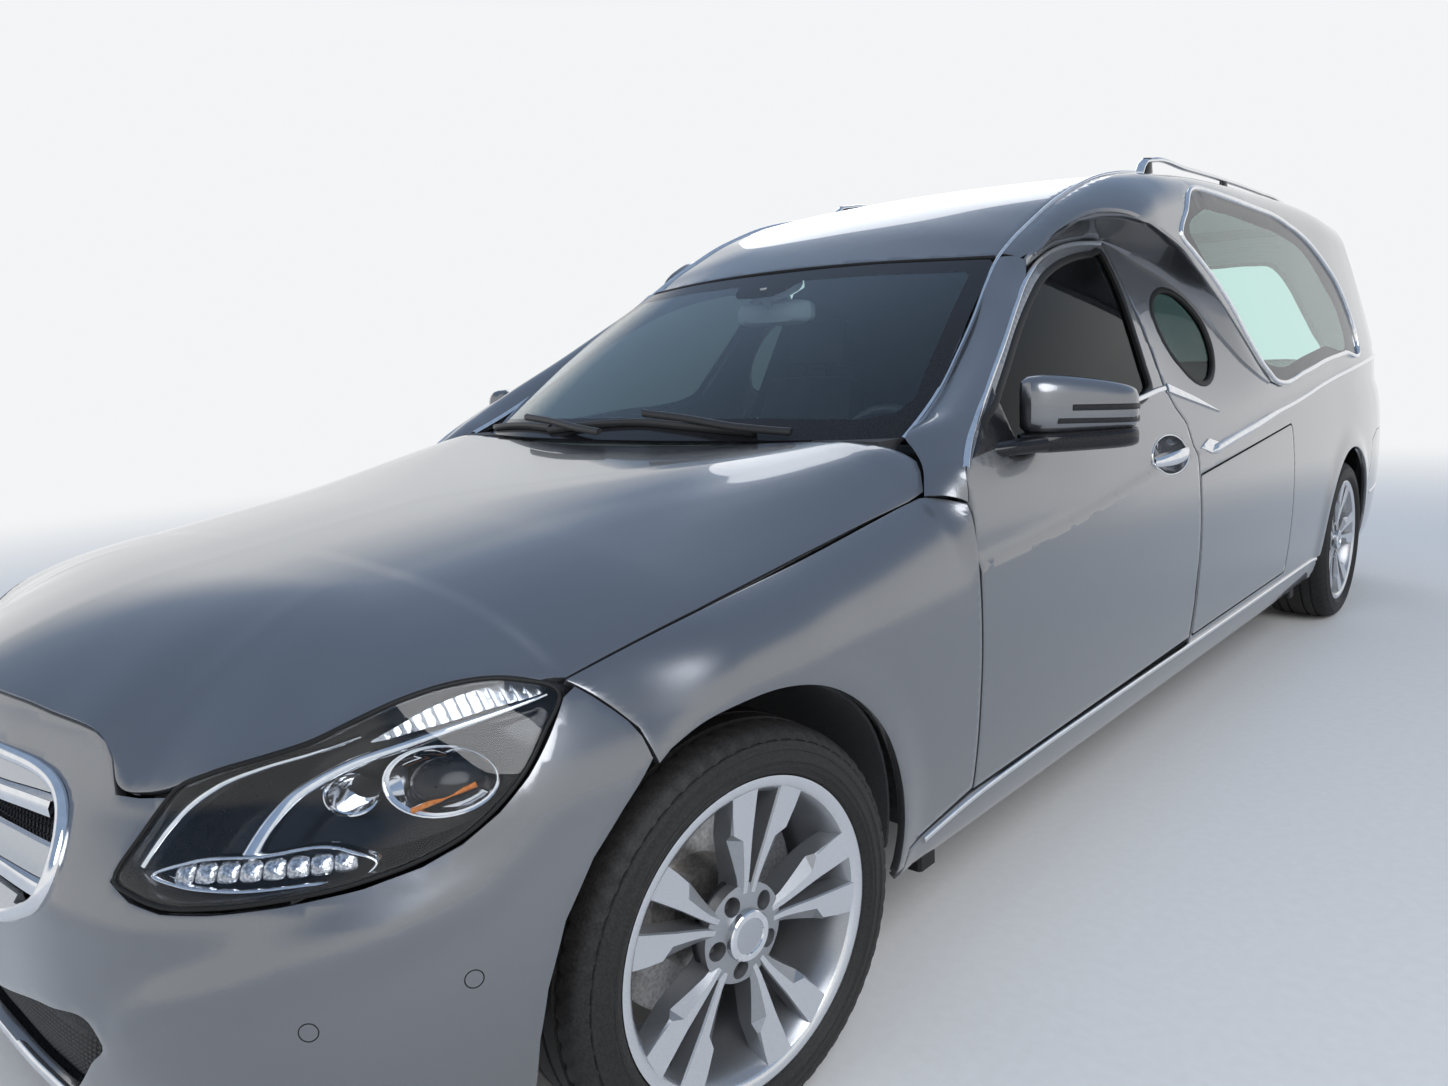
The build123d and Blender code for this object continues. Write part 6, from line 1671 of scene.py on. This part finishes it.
# Load space lining: pale covered boards inside the body sides and roof, and stepped frames round the
# rear glass.
glass_middle = np.array((0.0, 1.27))
frames = []
for index, (scale_in, scale_out, depth) in enumerate(((1.06, 1.15, 0.045), (1.15, 1.24, 0.085),
                                                      (1.24, 1.33, 0.125), (1.33, 1.44, 0.165))):
    ring_in = glass_middle + (rear_clear - glass_middle) * scale_in
    ring_out = glass_middle + (rear_clear - glass_middle) * scale_out
    for loop in (ring_in, ring_out):
        loop[:, 1] = np.clip(loop[:, 1], 0.80, 1.640)
        limit = np.interp(loop[:, 1], tail_z, tail_edge_x) - 0.05
        loop[:, 0] = np.clip(loop[:, 0], -limit, limit)
    outer = tail_inner(depth)(ring_out[:, 0], ring_out[:, 1])
    inner = tail_inner(depth)(ring_in[:, 0], ring_in[:, 1])
    riser = tail_inner(depth - 0.04)(ring_in[:, 0], ring_in[:, 1])
    rows = [[a, (a + b) / 2, b, (b + c) / 2, c] for a, b, c in zip(outer, inner, riser)]
    frames.append(loft(f"rear_frame_{index}", rows, 0.004, (0, -1, 0), closed=True))
boards = []
upper_board = dense([(2.10, 1.47), (2.20, 1.58), (2.60, 1.66), (3.2, 1.68), (3.9, 1.65), (4.12, 1.56),
                     (4.38, 1.24), (4.44, 1.07), (2.86, 0.995), (2.74, 1.02), (2.63, 1.075),
                     (2.54, 1.155), (2.43, 1.265), (2.32, 1.345)], 0.03)
for side, mirror in SIDES:
    boards.append(pressing("lining_board_" + side, inward(outer_surface, 0.034), upper_board,
                           [middle + (window_hole - middle) * 0.99], 0.03, 0.008, (1, 0, 0), edge=0,
                           mirror=mirror))
    low_board = dense([(2.12, 0.76), (2.12, 0.96), (2.80, 1.00), (3.8, 1.06), (4.45, 1.08), (4.60, 0.98),
                       (4.60, 0.76)], 0.04)
    boards.append(pressing("lining_low_" + side, inward(side_surface, 0.05), low_board, [], 0.05, 0.008,
                           (1, 0, 0), edge=0, mirror=mirror))

headliner_loop = dense([(-0.575, 1.46), (0.575, 1.46), (0.575, 4.15), (-0.575, 4.15)], 0.05)
boards.append(pressing("lining_roof", shifted(roof_surface, (0, 0, -0.036)), headliner_loop, [], 0.06,
                       0.010, (0, 0, 1), edge=0))
finish_piece(join("load_lining", frames + boards), "body", [], lining)

# Tail lamps: red ribbed covers with a pale lower band, let into the corners beside the tailgate.
red_lens = new_material("red_lens", (0.50, 0.008, 0.010), 0.06)
shader_value(red_lens, Coat_Weight=1.0)
grain(red_lens, 160.0, (0.38, 0.005, 0.007), (0.60, 0.015, 0.016), 0.3, 0.0008)
clear_lens = grained("clear_lens", (0.75, 0.72, 0.72), 0.08, 0.0, 220.0, (0.66, 0.60, 0.60),
                     (0.84, 0.82, 0.82), 0.4, 0.0008)


def lamp_ripple(x, z):
    ripple = 0.0015 * np.sin(z * 2 * math.pi / 0.018)
    return tail_surface(x, z) + np.stack([0 * x, ripple - 0.001, 0 * x], 1)


lamp_edge = [(float(np.interp(z, tail_z, tail_edge_x)) - 0.004, z)
             for z in (0.755, 0.80, 0.86, 0.92, 0.955, 0.985)]
for side, mirror in SIDES:
    red_upper = dense([(0.594, 0.858), (0.594, 0.994), (0.70, 0.998)] + lamp_edge[:1:-1], 0.008)
    clear_band = dense([(0.594, 0.826), (0.594, 0.856), (lamp_edge[2][0], 0.858),
                        (lamp_edge[2][0] - 0.001, 0.828)], 0.008)
    red_lower = dense([(0.594, 0.755), (0.594, 0.824), (lamp_edge[1][0], 0.826)] + lamp_edge[:1], 0.008)
    upper = pressing("tail_lamp_upper_" + side, lamp_ripple, red_upper, [], 0.008, 0.03, (0, 1, 0),
                     mirror=mirror)
    lower = pressing("tail_lamp_lower_" + side, lamp_ripple, red_lower, [], 0.008, 0.03, (0, 1, 0),
                     mirror=mirror)
    finish_piece(join("tail_lamp_red_" + side, [upper, lower]), "body", with_left(side, "tail_lamps"),
                 red_lens)
    band = pressing("tail_lamp_band_" + side, lamp_ripple, clear_band, [], 0.008, 0.03, (0, 1, 0),
                    mirror=mirror)
    finish_piece(band, "body", [], clear_lens)

# Rear bumper: one painted moulding from arch to arch, with an opening for the tail pipe and a bright
# strip along its middle.
rear_half = [(0.0, 4.945), (0.15, 4.944)]
rear_half += [(float(half_width(y)), y) for y in (4.94, 4.925, 4.90, 4.88, 4.85, 4.82, 4.80, 4.76, 4.72,
                                                  4.68, 4.60, 4.52, 4.42, 4.30, 4.15, 4.05)]
rear_plan = curve(rear_half, 0.006)
rear_steps = np.r_[0, np.cumsum(np.linalg.norm(np.diff(rear_plan, axis=0), axis=1))]
rear_tangent = np.gradient(rear_plan, axis=0)
rear_tangent /= np.linalg.norm(rear_tangent, axis=1)[:, None]


def rear_surface(u, z):
    along = abs(u)
    x = np.interp(along, rear_steps, rear_plan[:, 0])
    y = np.interp(along, rear_steps, rear_plan[:, 1])
    out_x = -np.interp(along, rear_steps, rear_tangent[:, 1])
    out_y = np.interp(along, rear_steps, rear_tangent[:, 0])
    corner = np.clip((along - 0.78) / 0.16, 0, 1)
    corner = corner * corner * (3 - 2 * corner)
    shelf = np.where(along < 0.588, 0.650, 0.744)
    over = np.clip((z - (shelf - 0.05)) / 0.05, 0, 1)
    inset = widest - smooth_line(z, side_z, side_w) + 0.052 * over**2.5 * (1 - corner)
    swell = np.where(along > 0.9, arch_swell(y, z), 0)
    inset = inset - swell
    return np.stack([(x - out_x * inset) * np.sign(u + 1e-12), y - out_y * inset, z], 1)


def rear_place(y):
    return float(np.interp(-y, -rear_plan[:, 1], rear_steps))


rear_bumper_half = [(0.0, 0.650), (0.583, 0.650), (0.592, 0.744), (0.70, 0.744),
                    (rear_place(4.83), 0.736), (rear_place(4.78), 0.7305), (rear_place(4.60), 0.7305),
                    (rear_place(4.40), 0.7305), (rear_place(4.272), 0.696), (rear_place(4.180), 0.38),
                    (rear_place(4.178), 0.32), (rear_place(4.20), 0.205), (0.90, 0.195), (0.0, 0.195)]
pipe_hole = ring(-0.47, 0.285, 0.052, 0.050, 40)
rear_bumper_skin = pressing("rear_bumper_skin", rear_surface,
                            dense(both_halves(rear_bumper_half), 0.014), [pipe_hole], 0.016, 0.016,
                            (0, 1, 0))
finish_piece(rear_bumper_skin, "body", ["rear_bumper"], paint)
pipe_path = rear_surface(pipe_hole[:, 0], pipe_hole[:, 1]) + np.array((0, 0.001, 0))
pipe_rim = strip("tail_pipe_trim", pipe_path, (0, 1, 0), half_round(0.010, 0.006, 0.012), closed=True)
finish_piece(pipe_rim, "body", [], chrome)
strip_line = np.stack([np.linspace(-rear_place(4.30), rear_place(4.30), 141), np.full(141, 0.46)], 1)
bumper_line = trim_on("rear_bumper_strip", rear_surface, strip_line, half_round(0.012, 0.003, 0.003),
                      side=-1)
finish_piece(bumper_line, "body", [], chrome)

# Wipers: two flat black blades on arms from the cowl, parked along the foot of the windscreen.
wiper_black = grained("wiper_black", (0.018, 0.018, 0.019), 0.45, 0.0, 400.0, (0.012, 0.012, 0.012),
                      (0.028, 0.028, 0.030), 0.3, 0.0003)
wipers = []
for index, (blade_points, arm_points) in enumerate((
    ([(-0.255, 1.013), (-0.10, 1.026), (0.06, 1.032), (0.22, 1.024), (0.40, 1.012)],
     [(0.50, 1.001), (0.36, 1.012), (0.20, 1.030), (0.07, 1.040)]),
    ([(-0.62, 1.010), (-0.50, 1.018), (-0.38, 1.021), (-0.26, 1.018)],
     [(-0.02, 1.002), (-0.12, 1.010), (-0.26, 1.023), (-0.40, 1.030)]),
)):
    for part, line, width, height, lift in (("blade", blade_points, 0.016, 0.012, 0.004),
                                            ("arm", arm_points, 0.018, 0.010, 0.020)):
        flat_line = curve(line, 0.02)
        path = screen_surface(flat_line[:, 0], flat_line[:, 1]) + np.array((0, -lift * 0.5, lift * 0.86))
        wipers.append(strip(f"wiper_{part}_{index}", path, (0, -0.5, 0.86),
                            half_round(width, height, 0.003)))
finish_piece(join("wipers", wipers), "body", [], wiper_black)

# Jack pads: rubber blocks under the sills by each wheel.
pads = []
for side, mirror in SIDES:
    for index, pad_y in enumerate((0.56, 3.24)):
        pad_path = [(0.825, pad_y, 0.182), (0.825, pad_y, 0.195), (0.825, pad_y, 0.215)]
        pad_shape = [(0.030, -0.024), (0.030, 0.024), (0.024, 0.030), (-0.024, 0.030), (-0.030, 0.024),
                     (-0.030, -0.024), (-0.024, -0.030), (0.024, -0.030)]
        pads.append(strip(f"jack_pad_{index}_{side}", pad_path, (1, 0, 0), pad_shape, mirror=mirror))
finish_piece(join("jack_pads", pads), "body", [], rubber)

# Parts kept from the solid model: each gets the finish of its real material.
soft_black = grained("moulded_plastic", (0.05, 0.05, 0.053), 0.55, 0.0, 350.0, (0.038, 0.038, 0.041),
                     (0.066, 0.066, 0.070), 0.5, 0.0006)
wood = new_material("deck_wood", (0.24, 0.13, 0.06), 0.32)
wood_noise = grain(wood, 14.0, (0.16, 0.08, 0.035), (0.32, 0.18, 0.09), 0.1, 0.0005, 8.0)
wood_noise.inputs["Distortion"].default_value = 1.2
under_black = grained("underbody_coat", (0.035, 0.035, 0.037), 0.75, 0.0, 90.0, (0.025, 0.025, 0.027),
                      (0.05, 0.05, 0.052), 0.6, 0.001)
cast = grained("cast_aluminium", (0.36, 0.36, 0.37), 0.48, 0.85, 180.0, (0.29, 0.29, 0.30),
               (0.43, 0.43, 0.44), 0.4, 0.0006)
plain_steel = grained("worn_steel", (0.32, 0.31, 0.30), 0.42, 0.9, 70.0, (0.24, 0.22, 0.20),
                      (0.40, 0.39, 0.38), 0.25, 0.0006)
kept_finish = {
    "cowl": soft_black, "dashboard": soft_black, "steering_wheel": leather, "partition": soft_black,
    "bier_deck": wood, "floor_pan": under_black, "arch_liners": soft_black, "engine": cast,
    "prop_shaft": plain_steel, "exhaust": plain_steel, "undertray": soft_black,
    "front_subframe": under_black, "knuckle_left": cast, "knuckle_right": cast, "rear_axle": cast,
}
for wheel_name in ("front_left", "front_right", "rear_left", "rear_right"):
    kept_finish[wheel_name + "_brake_disc"] = disc_steel
for node_name, finish in kept_finish.items():
    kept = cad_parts[node_name]
    if kept.material_slots:
        for holder in kept.material_slots:
            holder.material = finish
    else:
        kept.data.materials.append(finish)
